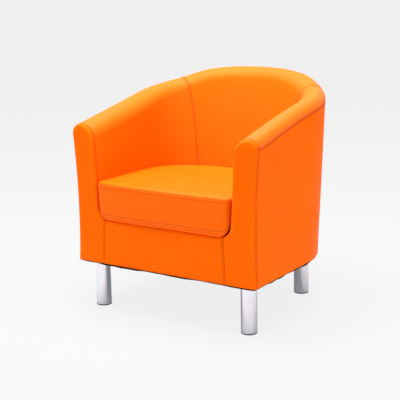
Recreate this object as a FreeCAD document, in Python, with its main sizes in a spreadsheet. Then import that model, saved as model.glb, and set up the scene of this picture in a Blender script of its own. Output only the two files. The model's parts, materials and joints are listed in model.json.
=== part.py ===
import FreeCAD
import Part
import Sketcher

import math
import os
import re

from FreeCAD import Vector

# Tub chair, millimetres: origin on the floor under the middle, +Z up, the seat opens towards -Y.
# Left pieces lie on the -X side and right pieces on the +X side, as seen from the front.

doc = FreeCAD.newDocument("TubChair")

# Driving dimensions

SIZES = {
    # Plan of the outside at the hem: straight sides, two corner arcs and one back arc
    "half_width": 334,
    "front_depth": 319,
    "back_depth": 313,
    "corner_radius": 290,
    "back_radius": 380,
    # Thickness of the wall at the seat deck, and the inside's plan there
    "arm_thickness": 90,
    "back_thickness": 175,
    "seat_corner_radius": 170,
    "seat_back_radius": 300,
    # Rim height, outward flare at the rim and belly of the outside, at five places along the rim
    "rim_front": 607,
    "rim_arm_end": 669,
    "rim_seam": 701,
    "rim_shoulder": 728,
    "rim_back": 740,
    "flare_front": 8,
    "flare_arm_end": 6,
    "flare_seam": 24,
    "flare_shoulder": 20,
    "flare_back": 15,
    "belly_front": -12,
    "belly_arm_end": 3,
    "belly_seam": 12,
    "belly_shoulder": 14,
    "belly_back": 12,
    "seam_angle": 40,
    "rim_outer_radius": 32,
    "rim_inner_radius": 50,
    # Layers of the wall, from the outside in
    "cover": 1.5,
    "gap": 0.3,
    "hem_width": 20,
    "panel": 3,
    "foam": 24,
    "rail_skirt": 30,
    "station_pitch": 34,
    # Front of the tub
    "cap_depth": 14,
    "cap_edge_radius": 12,
    "border_top": 304,
    "opening_radius": 40,
    "border_seam_top": 223,
    "border_seam_bottom": 231,
    # Frame
    "frame_bottom": 160,
    "ply": 18,
    "ring_width": 100,
    "ring_front_width": 72,
    "ring_inset": 6.5,
    "seat_frame_top": 290,
    "ledge": 28,
    "post_width": 30,
    "front_rail_thickness": 22,
    "block_width": 44,
    "block_recess_radius": 13,
    "block_recess_depth": 20,
    # Seat deck
    "strap": 1.5,
    "strap_width": 60,
    "strap_pitch_across": 100,
    "strap_pitch_along": 115,
    "deck_clearance": 1.5,
    # Legs
    "leg_radius": 25,
    "leg_wall": 1.5,
    "leg_plate": 3,
    "front_leg_from_side": 55,
    "front_leg_from_front": 56,
    "back_leg_from_side": 109,
    "back_leg_behind_side": 161.5,
    "glide_rim": 4,
    "glide_plug": 16,
    "glide_wall": 2,
    "glide_chamfer": 1,
    "stud_radius": 4,
    "stud_rise": 24,
    "nut_radius": 7,
    "nut_height": 5,
    "tee_flange_radius": 11,
    "tee_flange": 1.5,
    "tee_barrel": 14,
    "tee_wall": 1.3,
    "running_clearance": 0.1,
    # Dust cover
    "dust_cloth": 1,
    "dust_inset": 4,
    # Seat cushion
    "cushion_clearance": 4.5,
    "cushion_proud": 9,
    "cushion_height": 132,
    "cushion_crown": 9,
    "cushion_crown_reach": 120,
    "cushion_front_bow": 4,
    "cushion_front_corner": 30,
    "cushion_lower_corner": 36,
    "cushion_edge": 9,
    "zip_width": 8,
    "zip_thickness": 1.2,
    "zip_length": 260,
}

sheet = doc.addObject("Spreadsheet::Sheet", "Sizes")
for row, (alias, size) in enumerate(SIZES.items(), start=1):
    sheet.set(f"A{row}", alias.replace("_", " "))
    sheet.set(f"B{row}", str(size))
    sheet.setAlias(f"B{row}", alias)
doc.recompute()


def size(expression):
    """The value of an expression written in the sheet's names."""
    return float(sheet.evalExpression(expression))


S = {alias: float(sheet.get(alias)) for alias in SIZES}

HALF_TURN = math.pi
QUARTER_TURN = math.pi / 2

# Reach of cutting solids that pass right through the chair, and of those that end just past a piece
FAR = 4 * S["half_width"]
OVERRUN = 10.0


# Plan outlines: a straight side, a corner arc tangent to it and a back arc tangent to that

class Plan:
    """One half outline, x to the side and y to the back."""

    def __init__(self, half_width, back, corner, back_radius):
        self.half_width = half_width
        self.corner = corner
        self.back_radius = back_radius
        self.corner_x = half_width - corner
        reach = back_radius - corner
        rise = math.sqrt(reach ** 2 - self.corner_x ** 2)
        self.back_y = back - back_radius
        self.side_end = self.back_y + rise
        self.joint = math.atan2(rise, self.corner_x)

    def inset(self, distance):
        return Plan(
            self.half_width - distance,
            self.back_y + self.back_radius - distance,
            self.corner - distance,
            self.back_radius - distance,
        )

    def point(self, distance, front):
        """The point and inward direction at a path length measured from the front end."""
        straight = self.side_end - front
        if distance <= straight:
            return self.half_width, front + distance, -1.0, 0.0
        angle = (distance - straight) / self.corner
        centre_x, centre_y, radius = self.corner_x, self.side_end, self.corner
        if angle > self.joint:
            angle = self.joint + (angle - self.joint) * self.corner / self.back_radius
            centre_x, centre_y, radius = 0.0, self.back_y, self.back_radius
        across, along = math.cos(angle), math.sin(angle)
        return centre_x + radius * across, centre_y + radius * along, -across, -along

    def length_to_angle(self, angle, front):
        corner_part = min(angle, self.joint) * self.corner
        back_part = max(angle - self.joint, 0.0) * self.back_radius
        return self.side_end - front + corner_part + back_part

    def hit(self, x, y, across, along):
        """How far a ray from outside travels before it meets the outline."""
        best = None
        if across < 0:
            travel = (x - self.half_width) / -across
            if y + travel * along <= self.side_end:
                best = travel
        arcs = (
            (self.corner_x, self.side_end, self.corner, 0.0, self.joint),
            (0.0, self.back_y, self.back_radius, self.joint, QUARTER_TURN + 0.001),
        )
        for centre_x, centre_y, radius, first, last in arcs:
            offset_x, offset_y = x - centre_x, y - centre_y
            towards = offset_x * across + offset_y * along
            spread = towards ** 2 - (offset_x ** 2 + offset_y ** 2 - radius ** 2)
            if spread < 0:
                continue
            travel = -towards - math.sqrt(spread)
            angle = math.atan2(offset_y + travel * along, offset_x + travel * across)
            if first <= angle <= last and (best is None or travel < best):
                best = travel
        return best

    def corner_point(self, angle, z):
        return Vector(
            self.corner_x + self.corner * math.cos(angle),
            self.side_end + self.corner * math.sin(angle),
            z,
        )

    def wire(self, front, z):
        """The closed outline with a straight front."""
        corner_end = self.corner_point(self.joint, z)
        corner_middle = self.corner_point(self.joint / 2, z)
        side_front = Vector(self.half_width, front, z)
        side_back = Vector(self.half_width, self.side_end, z)
        middle = Vector(0, self.back_y + self.back_radius, z)

        def mirrored(point):
            return Vector(-point.x, point.y, point.z)

        edges = [
            Part.LineSegment(mirrored(side_front), side_front),
            Part.LineSegment(side_front, side_back),
            Part.Arc(side_back, corner_middle, corner_end),
            Part.Arc(corner_end, middle, mirrored(corner_end)),
            Part.Arc(mirrored(corner_end), mirrored(corner_middle), mirrored(side_back)),
            Part.LineSegment(mirrored(side_back), mirrored(side_front)),
        ]
        return Part.Wire([edge.toShape() for edge in edges])


OUTSIDE = Plan(S["half_width"], S["back_depth"], S["corner_radius"], S["back_radius"])
INSIDE = Plan(
    S["half_width"] - S["arm_thickness"],
    S["back_depth"] - S["back_thickness"],
    S["seat_corner_radius"],
    S["seat_back_radius"],
)

FRAME_FRONT = S["cap_depth"] - S["front_depth"]
WALL_BOTTOM = S["frame_bottom"] - S["cover"]

SEAM_AT = OUTSIDE.length_to_angle(math.radians(S["seam_angle"]), FRAME_FRONT)
PLACES = [
    ("front", 0.0),
    ("arm_end", OUTSIDE.length_to_angle(0.0, FRAME_FRONT)),
    ("seam", SEAM_AT),
    ("shoulder", OUTSIDE.length_to_angle(OUTSIDE.joint, FRAME_FRONT)),
    ("back", OUTSIDE.length_to_angle(QUARTER_TURN, FRAME_FRONT)),
]


def along_rim(quantity, distance):
    """A size between its values at the five places, as a smooth curve that is level at the back."""
    places = [at for _, at in PLACES]
    values = [S[f"{quantity}_{name}"] for name, _ in PLACES]
    steps = [(values[i + 1] - values[i]) / (places[i + 1] - places[i]) for i in range(4)]
    slopes = [steps[0]] + [(steps[i] + steps[i + 1]) / 2 for i in range(3)] + [0.0]
    i = 3
    while i > 0 and distance < places[i]:
        i -= 1
    width = places[i + 1] - places[i]
    part = (distance - places[i]) / width
    rest = 1 - part
    return (
        values[i] * rest ** 2 * (1 + 2 * part)
        + slopes[i] * width * part * rest ** 2
        + values[i + 1] * part ** 2 * (3 - 2 * part)
        - slopes[i + 1] * width * rest * part ** 2
    )


# Cross section of the tub wall, square to the rim: u is the distance inwards from the hem

class Section:
    def __init__(self, distance, side):
        self.side = side
        self.x, self.y, self.across, self.along = OUTSIDE.point(distance, FRAME_FRONT)
        self.crest = along_rim("rim", distance)
        self.flare = along_rim("flare", distance)
        self.belly = along_rim("belly", distance)
        self.outer_radius = S["rim_outer_radius"]
        self.inner_radius = S["rim_inner_radius"]
        self.middle = self.outer_radius - self.flare
        self.shoulder_z = self.crest - self.outer_radius
        self.roll_z = self.crest - self.inner_radius
        reach = INSIDE.hit(self.x, self.y, self.across, self.along) - self.middle
        drop = S["seat_frame_top"] - self.roll_z
        self.lean = math.atan2(drop, reach) + math.acos(
            self.inner_radius / math.hypot(reach, drop)
        )

    def place(self, point):
        u, z = point
        return Vector(self.side * (self.x + u * self.across), self.y + u * self.along, z)

    def line(self, start, end):
        return Part.LineSegment(self.place(start), self.place(end)).toShape()

    def arc(self, start, middle, end):
        return Part.Arc(self.place(start), self.place(middle), self.place(end)).toShape()

    def outer_u(self, depth, first, second):
        """Blossom of the outside's curve, which bulges by the belly and ends at the flare."""
        bulge = self.belly * (first * (1 - second) + second * (1 - first))
        return depth - bulge - self.flare * first * second

    def height_share(self, z):
        return (z - S["frame_bottom"]) / (self.shoulder_z - S["frame_bottom"])

    def outer(self, depth, z):
        share = self.height_share(z)
        return self.outer_u(depth, share, share), z

    def outer_side(self, depth, start_z, end_z):
        first, last = self.height_share(start_z), self.height_share(end_z)
        control = self.outer_u(depth, first, last), (start_z + end_z) / 2
        curve = Part.BezierCurve()
        poles = [self.outer(depth, start_z), control, self.outer(depth, end_z)]
        curve.setPoles([self.place(pole) for pole in poles])
        return curve.toShape()

    def shoulder(self, depth):
        return depth - self.flare, self.shoulder_z

    def crest_point(self, depth):
        return self.middle, self.crest - depth

    def on_outer_roll(self, depth, angle):
        radius = self.outer_radius - depth
        return self.middle - radius * math.cos(angle), self.shoulder_z + radius * math.sin(angle)

    def on_inner_roll(self, depth, angle):
        radius = self.inner_radius - depth
        return self.middle + radius * math.cos(angle), self.roll_z + radius * math.sin(angle)

    def roll_end(self, depth):
        return self.on_inner_roll(depth, self.lean)

    def inner(self, depth, z):
        end_u, end_z = self.roll_end(depth)
        return end_u + (end_z - z) * math.tan(self.lean), z

    def roll(self, depth):
        """The two arcs over the rim, from the outside to the inside."""
        half_outer = self.on_outer_roll(depth, QUARTER_TURN / 2)
        half_inner = self.on_inner_roll(depth, (QUARTER_TURN + self.lean) / 2)
        return [
            self.arc(self.shoulder(depth), half_outer, self.crest_point(depth)),
            self.arc(self.crest_point(depth), half_inner, self.roll_end(depth)),
        ]

    # Closed profiles of the pieces, each a list of edges in order

    def over_the_rim(self, outer_depth, inner_depth, bottom):
        outer_foot = self.inner(outer_depth, bottom)
        inner_foot = self.inner(inner_depth, bottom)
        return (
            self.roll(outer_depth)
            + [
                self.line(self.roll_end(outer_depth), outer_foot),
                self.line(outer_foot, inner_foot),
                self.line(inner_foot, self.roll_end(inner_depth)),
            ]
            + self.roll(inner_depth)[::-1]
            + [self.line(self.shoulder(inner_depth), self.shoulder(outer_depth))]
        )

    def outer_strip(self, outer_depth, inner_depth, bottom, top):
        return [
            self.outer_side(outer_depth, bottom, top),
            self.line(self.outer(outer_depth, top), self.outer(inner_depth, top)),
            self.outer_side(inner_depth, top, bottom),
            self.line(self.outer(inner_depth, bottom), self.outer(outer_depth, bottom)),
        ]

    def outside_cover(self):
        top = self.shoulder_z - S["gap"]
        low, high = WALL_BOTTOM, S["frame_bottom"]
        hem = S["hem_width"]
        return [
            self.line((hem, low), self.outer(0.0, low)),
            self.outer_side(0.0, low, top),
            self.line(self.outer(0.0, top), self.outer(S["cover"], top)),
            self.outer_side(S["cover"], top, high),
            self.line(self.outer(S["cover"], high), (hem, high)),
            self.line((hem, high), (hem, low)),
        ]

    def inner_strip(self, outer_depth, inner_depth, bottom):
        corners = [
            self.roll_end(outer_depth),
            self.inner(outer_depth, bottom),
            self.inner(inner_depth, bottom),
            self.roll_end(inner_depth),
        ]
        return self.polygon(corners)

    def polygon(self, corners):
        return [self.line(a, b) for a, b in zip(corners, corners[1:] + corners[:1])]

    def top_rail(self):
        """A rail with a rounded top, a step under the foam's lip and a rebate for the hardboard."""
        foot = self.shoulder_z - S["rail_skirt"]
        lip = self.shoulder_z - S["gap"]
        foot_u, _ = self.outer(POST_OUTER, foot)
        lip_u, _ = self.outer(POST_OUTER, lip)
        return (
            [
                self.line((foot_u, foot), (lip_u, lip)),
                self.line((lip_u, lip), self.shoulder(RAIL_TOP)),
            ]
            + self.roll(RAIL_TOP)
            + [
                self.line(self.roll_end(RAIL_TOP), self.roll_end(POST_INNER)),
                self.line(self.roll_end(POST_INNER), self.inner(POST_INNER, foot)),
                self.line(self.inner(POST_INNER, foot), (foot_u, foot)),
            ]
        )

    def post(self):
        bottom = S["seat_frame_top"]
        top = self.shoulder_z - S["rail_skirt"] - S["gap"]
        return [
            self.outer_side(POST_OUTER, bottom, top),
            self.line(self.outer(POST_OUTER, top), self.inner(POST_INNER, top)),
            self.line(self.inner(POST_INNER, top), self.inner(POST_INNER, bottom)),
            self.line(self.inner(POST_INNER, bottom), self.outer(POST_OUTER, bottom)),
        ]

    def seat_frame(self):
        bottom, top = S["seat_frame_top"] - S["ply"], S["seat_frame_top"]
        edge_u, _ = self.inner(0.0, top)
        edge_u += S["ledge"]
        corners = [
            self.outer(POST_OUTER, bottom),
            self.outer(POST_OUTER, top),
            (edge_u, top),
            (edge_u, bottom),
        ]
        return self.polygon(corners)


# Depths of the wall's layers below the outer surface

PAD_FACE = S["cover"] + S["gap"]
PANEL_BACK = PAD_FACE + S["panel"]
POST_OUTER = PANEL_BACK + S["gap"]
FOAM_BACK = PAD_FACE + S["foam"]
RAIL_TOP = FOAM_BACK + S["gap"]
BOARD_BACK = RAIL_TOP + S["panel"]
POST_INNER = BOARD_BACK + S["gap"]

LAYER_FOOT = S["seat_frame_top"] + S["gap"]


def stations(start, end):
    """Path lengths between two ends, on the named places and evenly between them."""
    marks = sorted({at for _, at in PLACES if start < at < end} | {start, end})
    found = [start]
    for first, last in zip(marks, marks[1:]):
        steps = math.ceil((last - first) / S["station_pitch"])
        found += [first + (last - first) * i / steps for i in range(1, steps + 1)]
    return found


def loft(sections, profile):
    wires = [Part.Wire(profile(section)) for section in sections]
    return Part.makeLoft(wires, True, True)


def round_the_back(profile, start=0.0):
    """A loft from one arm's front, round the back to the other arm's front."""
    middle = PLACES[-1][1]
    right = [Section(distance, 1) for distance in stations(start, middle)]
    left = [Section(distance, -1) for distance in stations(start, middle)[:-1]]
    return loft(right + left[::-1], profile)


def seam_wedge(side):
    """The space of one arm: all that lies before the plane of its cross seam."""
    angle = math.radians(S["seam_angle"])
    centre = Vector(side * OUTSIDE.corner_x, OUTSIDE.side_end, 0)
    along_seam = Vector(side * math.cos(angle), math.sin(angle), 0)
    corners = [
        centre - along_seam * (OUTSIDE.corner_x / math.cos(angle)),
        centre + along_seam * FAR,
        Vector(side * FAR, -FAR, 0),
        Vector(0, -FAR, 0),
    ]
    face = Part.Face(Part.makePolygon(corners + corners[:1]))
    return face.extrude(Vector(0, 0, FAR))


parts = []


def add_shape(label, shape):
    feature = doc.addObject("Part::Feature", label)
    feature.Label = label
    feature.Shape = shape
    feature.Placement = FreeCAD.Placement()
    parts.append(feature)
    return feature


SIDES = (("left", -1), ("right", 1))

# Covers and foam of the wall

add_shape("outside_cover", round_the_back(Section.outside_cover))

wall_layers = (
    ("inside_arm_cover", "inside_back_cover", 0.0, S["cover"]),
    ("arm_foam", "back_foam", PAD_FACE, FOAM_BACK),
)
wedges = {side_name: seam_wedge(side) for side_name, side in SIDES}
for arm_name, back_name, outer_depth, inner_depth in wall_layers:
    whole = round_the_back(lambda s: s.over_the_rim(outer_depth, inner_depth, LAYER_FOOT))
    for side_name, _ in SIDES:
        add_shape(f"{arm_name}_{side_name}", whole.common(wedges[side_name]))
    add_shape(back_name, whole.cut(wedges["left"]).cut(wedges["right"]))

# Hardboard skins, top rail and seat frame

add_shape(
    "outer_panel",
    round_the_back(
        lambda s: s.outer_strip(
            PAD_FACE, PANEL_BACK, S["frame_bottom"] + S["gap"], s.shoulder_z - S["gap"]
        ),
        S["gap"],
    ),
)
add_shape(
    "inner_panel",
    round_the_back(lambda s: s.inner_strip(RAIL_TOP, BOARD_BACK, LAYER_FOOT), S["gap"]),
)
add_shape("top_rail", round_the_back(Section.top_rail, S["gap"]))
add_shape("seat_frame", round_the_back(Section.seat_frame, S["gap"]))

# Eight uprights between the seat frame and the top rail

POSTS = {
    "front_post": S["gap"],
    "arm_post": PLACES[1][1] / 2,
    "corner_post": (PLACES[1][1] + SEAM_AT) / 2,
    "back_post": (SEAM_AT + PLACES[-1][1]) / 2,
}
post_space = round_the_back(Section.post, S["gap"])


def slab(start, side):
    """A slice square to the rim, as wide as an upright."""
    x, y, across, along = OUTSIDE.point(start + S["post_width"] / 2, FRAME_FRONT)
    inward = Vector(side * across, along, 0)
    sideways = Vector(-along, side * across, 0) * (S["post_width"] / 2)
    middle = Vector(side * x, y, 0)
    outer_end = middle - inward * S["post_width"]
    inner_end = middle + inward * S["back_thickness"]
    corners = [
        outer_end - sideways,
        outer_end + sideways,
        inner_end + sideways,
        inner_end - sideways,
    ]
    face = Part.Face(Part.makePolygon(corners + corners[:1]))
    return face.extrude(Vector(0, 0, FAR))


for post_name, start in POSTS.items():
    for side_name, side in SIDES:
        add_shape(f"{post_name}_{side_name}", post_space.common(slab(start, side)))


# Front of the tub: a flat cap over the arm ends and the border, with rounded front edges

def cap_outline(depth, shrink, y):
    """Outline of the tub's front, round the U of the opening, all edges but the hem shrunk."""
    edges = []
    for side in (1, -1):
        section = Section(0.0, side)
        bottom = WALL_BOTTOM + depth
        level = depth + shrink
        radius = S["opening_radius"] + level
        centre_z = S["border_top"] + S["opening_radius"]
        line_u, _ = section.inner(level, centre_z)
        centre_u = line_u + radius / math.cos(section.lean)
        lower = HALF_TURN + section.lean
        last = 3 * QUARTER_TURN

        def on_corner(angle, centre_u=centre_u, centre_z=centre_z, radius=radius):
            return centre_u + radius * math.cos(angle), centre_z + radius * math.sin(angle)

        half_edges = [
            section.line((section.x, bottom), section.outer(level, bottom)),
            section.outer_side(level, bottom, section.shoulder_z),
            *section.roll(level),
            section.line(section.roll_end(level), on_corner(lower)),
            section.arc(on_corner(lower), on_corner((lower + last) / 2), on_corner(last)),
            section.line(on_corner(last), (section.x, S["border_top"] - level)),
        ]
        edges += half_edges if side == 1 else half_edges[::-1]
    wire = Part.Wire(edges)
    wire.translate(Vector(0, y - FRAME_FRONT, 0))
    return wire


CAP_EDGE_STEPS = 4


def cap(depth):
    """The cap between its front face and the frame, lofted so that its front edges are round."""
    front = depth - S["front_depth"]
    radius = S["cap_edge_radius"] - depth
    outlines = [cap_outline(depth, 0.0, FRAME_FRONT)]
    for step in range(CAP_EDGE_STEPS + 1):
        angle = QUARTER_TURN * step / CAP_EDGE_STEPS
        shrink = radius * (1 - math.cos(angle))
        y = front + radius * (1 - math.sin(angle))
        outlines.append(cap_outline(depth, shrink, y))
    return Part.makeLoft(outlines, True, True)


def border_zone():
    """The front between the two border seams, which spread towards the hem."""
    top, bottom = S["border_top"], WALL_BOTTOM
    spread = (S["border_seam_bottom"] - S["border_seam_top"]) / (top - bottom)
    low_x = S["border_seam_bottom"] + spread * OVERRUN
    high_x = S["border_seam_top"] - spread * OVERRUN
    corners = [
        Vector(-low_x, 0, bottom - OVERRUN),
        Vector(low_x, 0, bottom - OVERRUN),
        Vector(high_x, 0, top + OVERRUN),
        Vector(-high_x, 0, top + OVERRUN),
    ]
    face = Part.Face(Part.makePolygon(corners + corners[:1]))
    return face.extrude(Vector(0, -FAR, 0))


cap_skin = cap(0.0).cut(cap(S["cover"]))
cap_pad = cap(PAD_FACE)
zone = border_zone()

add_shape("front_border_cover", cap_skin.common(zone))
add_shape("border_pad", cap_pad.common(zone))
for solids, label in ((cap_skin.cut(zone), "arm_front_cover"), (cap_pad.cut(zone), "arm_front_pad")):
    for solid in solids.Solids:
        side_name = "left" if solid.CenterOfMass.x < 0 else "right"
        add_shape(f"{label}_{side_name}", solid)


# Sketched and turned pieces, whose sizes are bound to the sheet

def bound(expression):
    """The expression with each of its names read from the sheet."""
    return re.sub(r"\b(?!sqrt\b)([a-z_]+)", r"Sizes.\1", expression)


def new_body(label):
    body = doc.addObject("PartDesign::Body", label)
    body.Label = label
    return body


def new_sketch(body, role, height="0"):
    sketch = body.newObject("Sketcher::SketchObject", "Sketch")
    plane = next(item for item in body.Origin.OriginFeatures if item.Role == role)
    sketch.AttachmentSupport = [(plane, "")]
    sketch.MapMode = "FlatFace"
    if height != "0":
        sketch.setExpression("AttachmentOffset.Base.z", bound(height))
    return sketch


def bind(sketch, kind, references, expression):
    index = sketch.addConstraint(Sketcher.Constraint(kind, *references, size(expression)))
    sketch.setExpression(f"Constraints[{index}]", bound(expression))


def draw_polygon(sketch, corners):
    """A closed outline whose corners are pairs of expressions."""
    points = [Vector(size(x), size(y), 0) for x, y in corners]
    for start, end in zip(points, points[1:] + points[:1]):
        sketch.addGeometry(Part.LineSegment(start, end))
    for i, (x, y) in enumerate(corners):
        before = (i - 1) % len(corners)
        sketch.addConstraint(Sketcher.Constraint("Coincident", i, 1, before, 2))
        for kind, expression, axis in (("DistanceX", x, -2), ("DistanceY", y, -1)):
            if size(expression) == 0:
                sketch.addConstraint(Sketcher.Constraint("PointOnObject", i, 1, axis))
            else:
                bind(sketch, kind, (-1, 1, i, 1), expression)


def draw_circle(sketch, x, y, radius):
    centre = Vector(size(x), size(y), 0)
    i = sketch.addGeometry(Part.Circle(centre, Vector(0, 0, 1), size(radius)))
    bind(sketch, "Radius", (i,), radius)
    for kind, expression, axis in (("DistanceX", x, -2), ("DistanceY", y, -1)):
        if size(expression) == 0:
            sketch.addConstraint(Sketcher.Constraint("PointOnObject", i, 3, axis))
        else:
            bind(sketch, kind, (-1, 1, i, 3), expression)


def draw_tub(sketch, half_width, front, back, corner, back_radius):
    """A straight front, two sides, two corner arcs and one back arc, each tangent to the next."""
    plan = Plan(size(half_width), size(back), size(corner), size(back_radius))
    width, front_y = plan.half_width, size(front)
    up = Vector(0, 0, 1)
    corner_circle = Part.Circle(Vector(plan.corner_x, plan.side_end, 0), up, plan.corner)
    mirror_circle = Part.Circle(Vector(-plan.corner_x, plan.side_end, 0), up, plan.corner)
    back_circle = Part.Circle(Vector(0, plan.back_y, 0), up, plan.back_radius)
    joint, far_joint = plan.joint, HALF_TURN - plan.joint
    sketch.addGeometry(
        [
            Part.LineSegment(Vector(-width, front_y, 0), Vector(width, front_y, 0)),
            Part.LineSegment(Vector(width, front_y, 0), Vector(width, plan.side_end, 0)),
            Part.ArcOfCircle(corner_circle, 0, joint),
            Part.ArcOfCircle(back_circle, joint, far_joint),
            Part.ArcOfCircle(mirror_circle, far_joint, HALF_TURN),
            Part.LineSegment(Vector(-width, plan.side_end, 0), Vector(-width, front_y, 0)),
        ]
    )
    sketch.addConstraint(
        [
            Sketcher.Constraint("Coincident", 0, 2, 1, 1),
            Sketcher.Constraint("Tangent", 1, 2, 2, 1),
            Sketcher.Constraint("Tangent", 2, 2, 3, 1),
            Sketcher.Constraint("Tangent", 3, 2, 4, 1),
            Sketcher.Constraint("Tangent", 4, 2, 5, 1),
            Sketcher.Constraint("Coincident", 5, 2, 0, 1),
            Sketcher.Constraint("Horizontal", 0),
            Sketcher.Constraint("Vertical", 1),
            Sketcher.Constraint("Vertical", 5),
            Sketcher.Constraint("PointOnObject", 3, 3, -2),
            Sketcher.Constraint("Equal", 2, 4),
        ]
    )
    bind(sketch, "DistanceX", (-1, 1, 0, 2), half_width)
    bind(sketch, "DistanceX", (-1, 1, 0, 1), f"-({half_width})")
    bind(sketch, "DistanceY", (-1, 1, 0, 1), front)
    bind(sketch, "Radius", (2,), corner)
    bind(sketch, "Radius", (3,), back_radius)
    bind(sketch, "DistanceY", (-1, 1, 3, 3), f"{back} - ({back_radius})")


def pad(body, sketch, length):
    feature = body.newObject("PartDesign::Pad", "Pad")
    feature.Profile = sketch
    feature.setExpression("Length", bound(length))
    return feature


def pocket_upwards(body, sketch, length):
    """A cut from the sketch's plane upwards."""
    feature = body.newObject("PartDesign::Pocket", "Pocket")
    feature.Profile = sketch
    feature.setExpression("Length", bound(length))
    feature.Reversed = True
    return feature


def turned(label, corners):
    """A piece turned about Z, from its half section in radius and height."""
    body = new_body(label)
    sketch = new_sketch(body, "XZ_Plane")
    draw_polygon(sketch, corners)
    feature = body.newObject("PartDesign::Revolution", "Revolution")
    feature.Profile = sketch
    feature.ReferenceAxis = (sketch, ["V_Axis"])
    feature.Angle = 360
    return body


def place_at(feature, x, y):
    feature.setExpression("Placement.Base.x", bound(x))
    feature.setExpression("Placement.Base.y", bound(y))


def outer_tub(inset):
    return (
        f"half_width - {inset}",
        f"back_depth - {inset}",
        f"corner_radius - {inset}",
        f"back_radius - {inset}",
    )


# Each leg's place: the front ones from the front, the back ones from where the side's straight ends

SIDE_END = (
    "back_depth - back_radius"
    " + sqrt((back_radius - corner_radius)^2 - (half_width - corner_radius)^2)"
)
LEG_PLACES = {
    "front_left": ("front_leg_from_side - half_width", "front_leg_from_front - front_depth"),
    "front_right": ("half_width - front_leg_from_side", "front_leg_from_front - front_depth"),
    "back_left": ("back_leg_from_side - half_width", f"{SIDE_END} + back_leg_behind_side"),
    "back_right": ("half_width - back_leg_from_side", f"{SIDE_END} + back_leg_behind_side"),
}

# Base ring: a plywood ring with a wide front bar and four holes for the tee nuts

ring = new_body("base_ring")
outline = new_sketch(ring, "XY_Plane", "frame_bottom")
width, back, corner, back_radius = outer_tub("ring_inset")
draw_tub(outline, width, "cap_depth + gap - front_depth", back, corner, back_radius)
pad(ring, outline, "ply")
window = new_sketch(ring, "XY_Plane", "frame_bottom")
width, back, corner, back_radius = outer_tub("ring_inset - ring_width")
draw_tub(window, width, "cap_depth + ring_front_width - front_depth", back, corner, back_radius)
pocket_upwards(ring, window, "ply")
holes = new_sketch(ring, "XY_Plane", "frame_bottom")
for x, y in LEG_PLACES.values():
    draw_circle(holes, x, y, "stud_radius + tee_wall + running_clearance + running_clearance")
pocket_upwards(ring, holes, "ply")
parts.append(ring)

# Front rail: a board on the base ring between the ends of the seat frame

rail = doc.addObject("Part::Box", "front_rail")
rail.Label = "front_rail"
rail_half = "(half_width - arm_thickness - ledge - gap)"
rail.setExpression("Length", bound(f"2 * {rail_half}"))
rail.setExpression("Width", bound("front_rail_thickness"))
rail.setExpression("Height", bound("seat_frame_top - frame_bottom - ply"))
rail.setExpression("Placement.Base.x", bound(f"-{rail_half}"))
rail.setExpression("Placement.Base.y", bound("cap_depth + gap - front_depth"))
rail.setExpression("Placement.Base.z", bound("frame_bottom + ply"))
parts.append(rail)

# A block over each leg, recessed for the tee nut and the stud's end

for place, (x, y) in LEG_PLACES.items():
    block = new_body(f"leg_block_{place}")
    foot = new_sketch(block, "XY_Plane", "frame_bottom + ply")
    half = "block_width / 2"
    draw_polygon(
        foot,
        [(f"-{half}", f"-{half}"), (half, f"-{half}"), (half, half), (f"-{half}", half)],
    )
    pad(block, foot, "seat_frame_top - ply - frame_bottom - ply - gap")
    recess = new_sketch(block, "XY_Plane", "frame_bottom + ply")
    draw_circle(recess, "0", "0", "block_recess_radius")
    pocket_upwards(block, recess, "block_recess_depth")
    place_at(block, x, y)
    parts.append(block)

# Legs: chrome tubes closed by a plate, with a black glide in each lower end

for place, (x, y) in LEG_PLACES.items():
    bore = "stud_radius + running_clearance"
    inside = "leg_radius - leg_wall"
    leg = turned(
        f"leg_{place}",
        [
            ("leg_radius", "glide_rim"),
            ("leg_radius", "frame_bottom"),
            (bore, "frame_bottom"),
            (bore, "frame_bottom - leg_plate"),
            (inside, "frame_bottom - leg_plate"),
            (inside, "glide_rim"),
        ],
    )
    plug = "leg_radius - leg_wall - running_clearance"
    glide = turned(
        f"glide_{place}",
        [
            ("0", "0"),
            ("leg_radius - glide_chamfer", "0"),
            ("leg_radius", "glide_chamfer"),
            ("leg_radius", "glide_rim"),
            (plug, "glide_rim"),
            (plug, "glide_rim + glide_plug"),
            (f"{plug} - glide_wall", "glide_rim + glide_plug"),
            (f"{plug} - glide_wall", "glide_wall"),
            ("0", "glide_wall"),
        ],
    )
    for piece in (leg, glide):
        place_at(piece, x, y)
        parts.append(piece)

# Studs with their nuts, and tee nuts: one of each at every leg

studs = []
tee_nuts = []
for place, (x, y) in LEG_PLACES.items():
    nut_foot = "frame_bottom - leg_plate - nut_height"
    shank = doc.addObject("Part::Cylinder", f"shank_{place}")
    shank.setExpression("Radius", bound("stud_radius"))
    shank.setExpression("Height", bound("leg_plate + nut_height + stud_rise"))
    nut = doc.addObject("Part::Prism", f"nut_{place}")
    nut.Polygon = 6
    nut.setExpression("Circumradius", bound("nut_radius"))
    nut.setExpression("Height", bound("nut_height"))
    for piece in (shank, nut):
        place_at(piece, x, y)
        piece.setExpression("Placement.Base.z", bound(nut_foot))
    stud = doc.addObject("Part::Fuse", f"stud_{place}")
    stud.Base = shank
    stud.Tool = nut
    studs.append(stud)
    bore = "stud_radius + running_clearance"
    barrel = f"{bore} + tee_wall"
    tee_nut = turned(
        f"tee_nut_{place}",
        [
            (bore, "frame_bottom + ply - tee_barrel"),
            (barrel, "frame_bottom + ply - tee_barrel"),
            (barrel, "frame_bottom + ply"),
            ("tee_flange_radius", "frame_bottom + ply"),
            ("tee_flange_radius", "frame_bottom + ply + tee_flange"),
            (bore, "frame_bottom + ply + tee_flange"),
        ],
    )
    place_at(tee_nut, x, y)
    tee_nuts.append(tee_nut)

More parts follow.
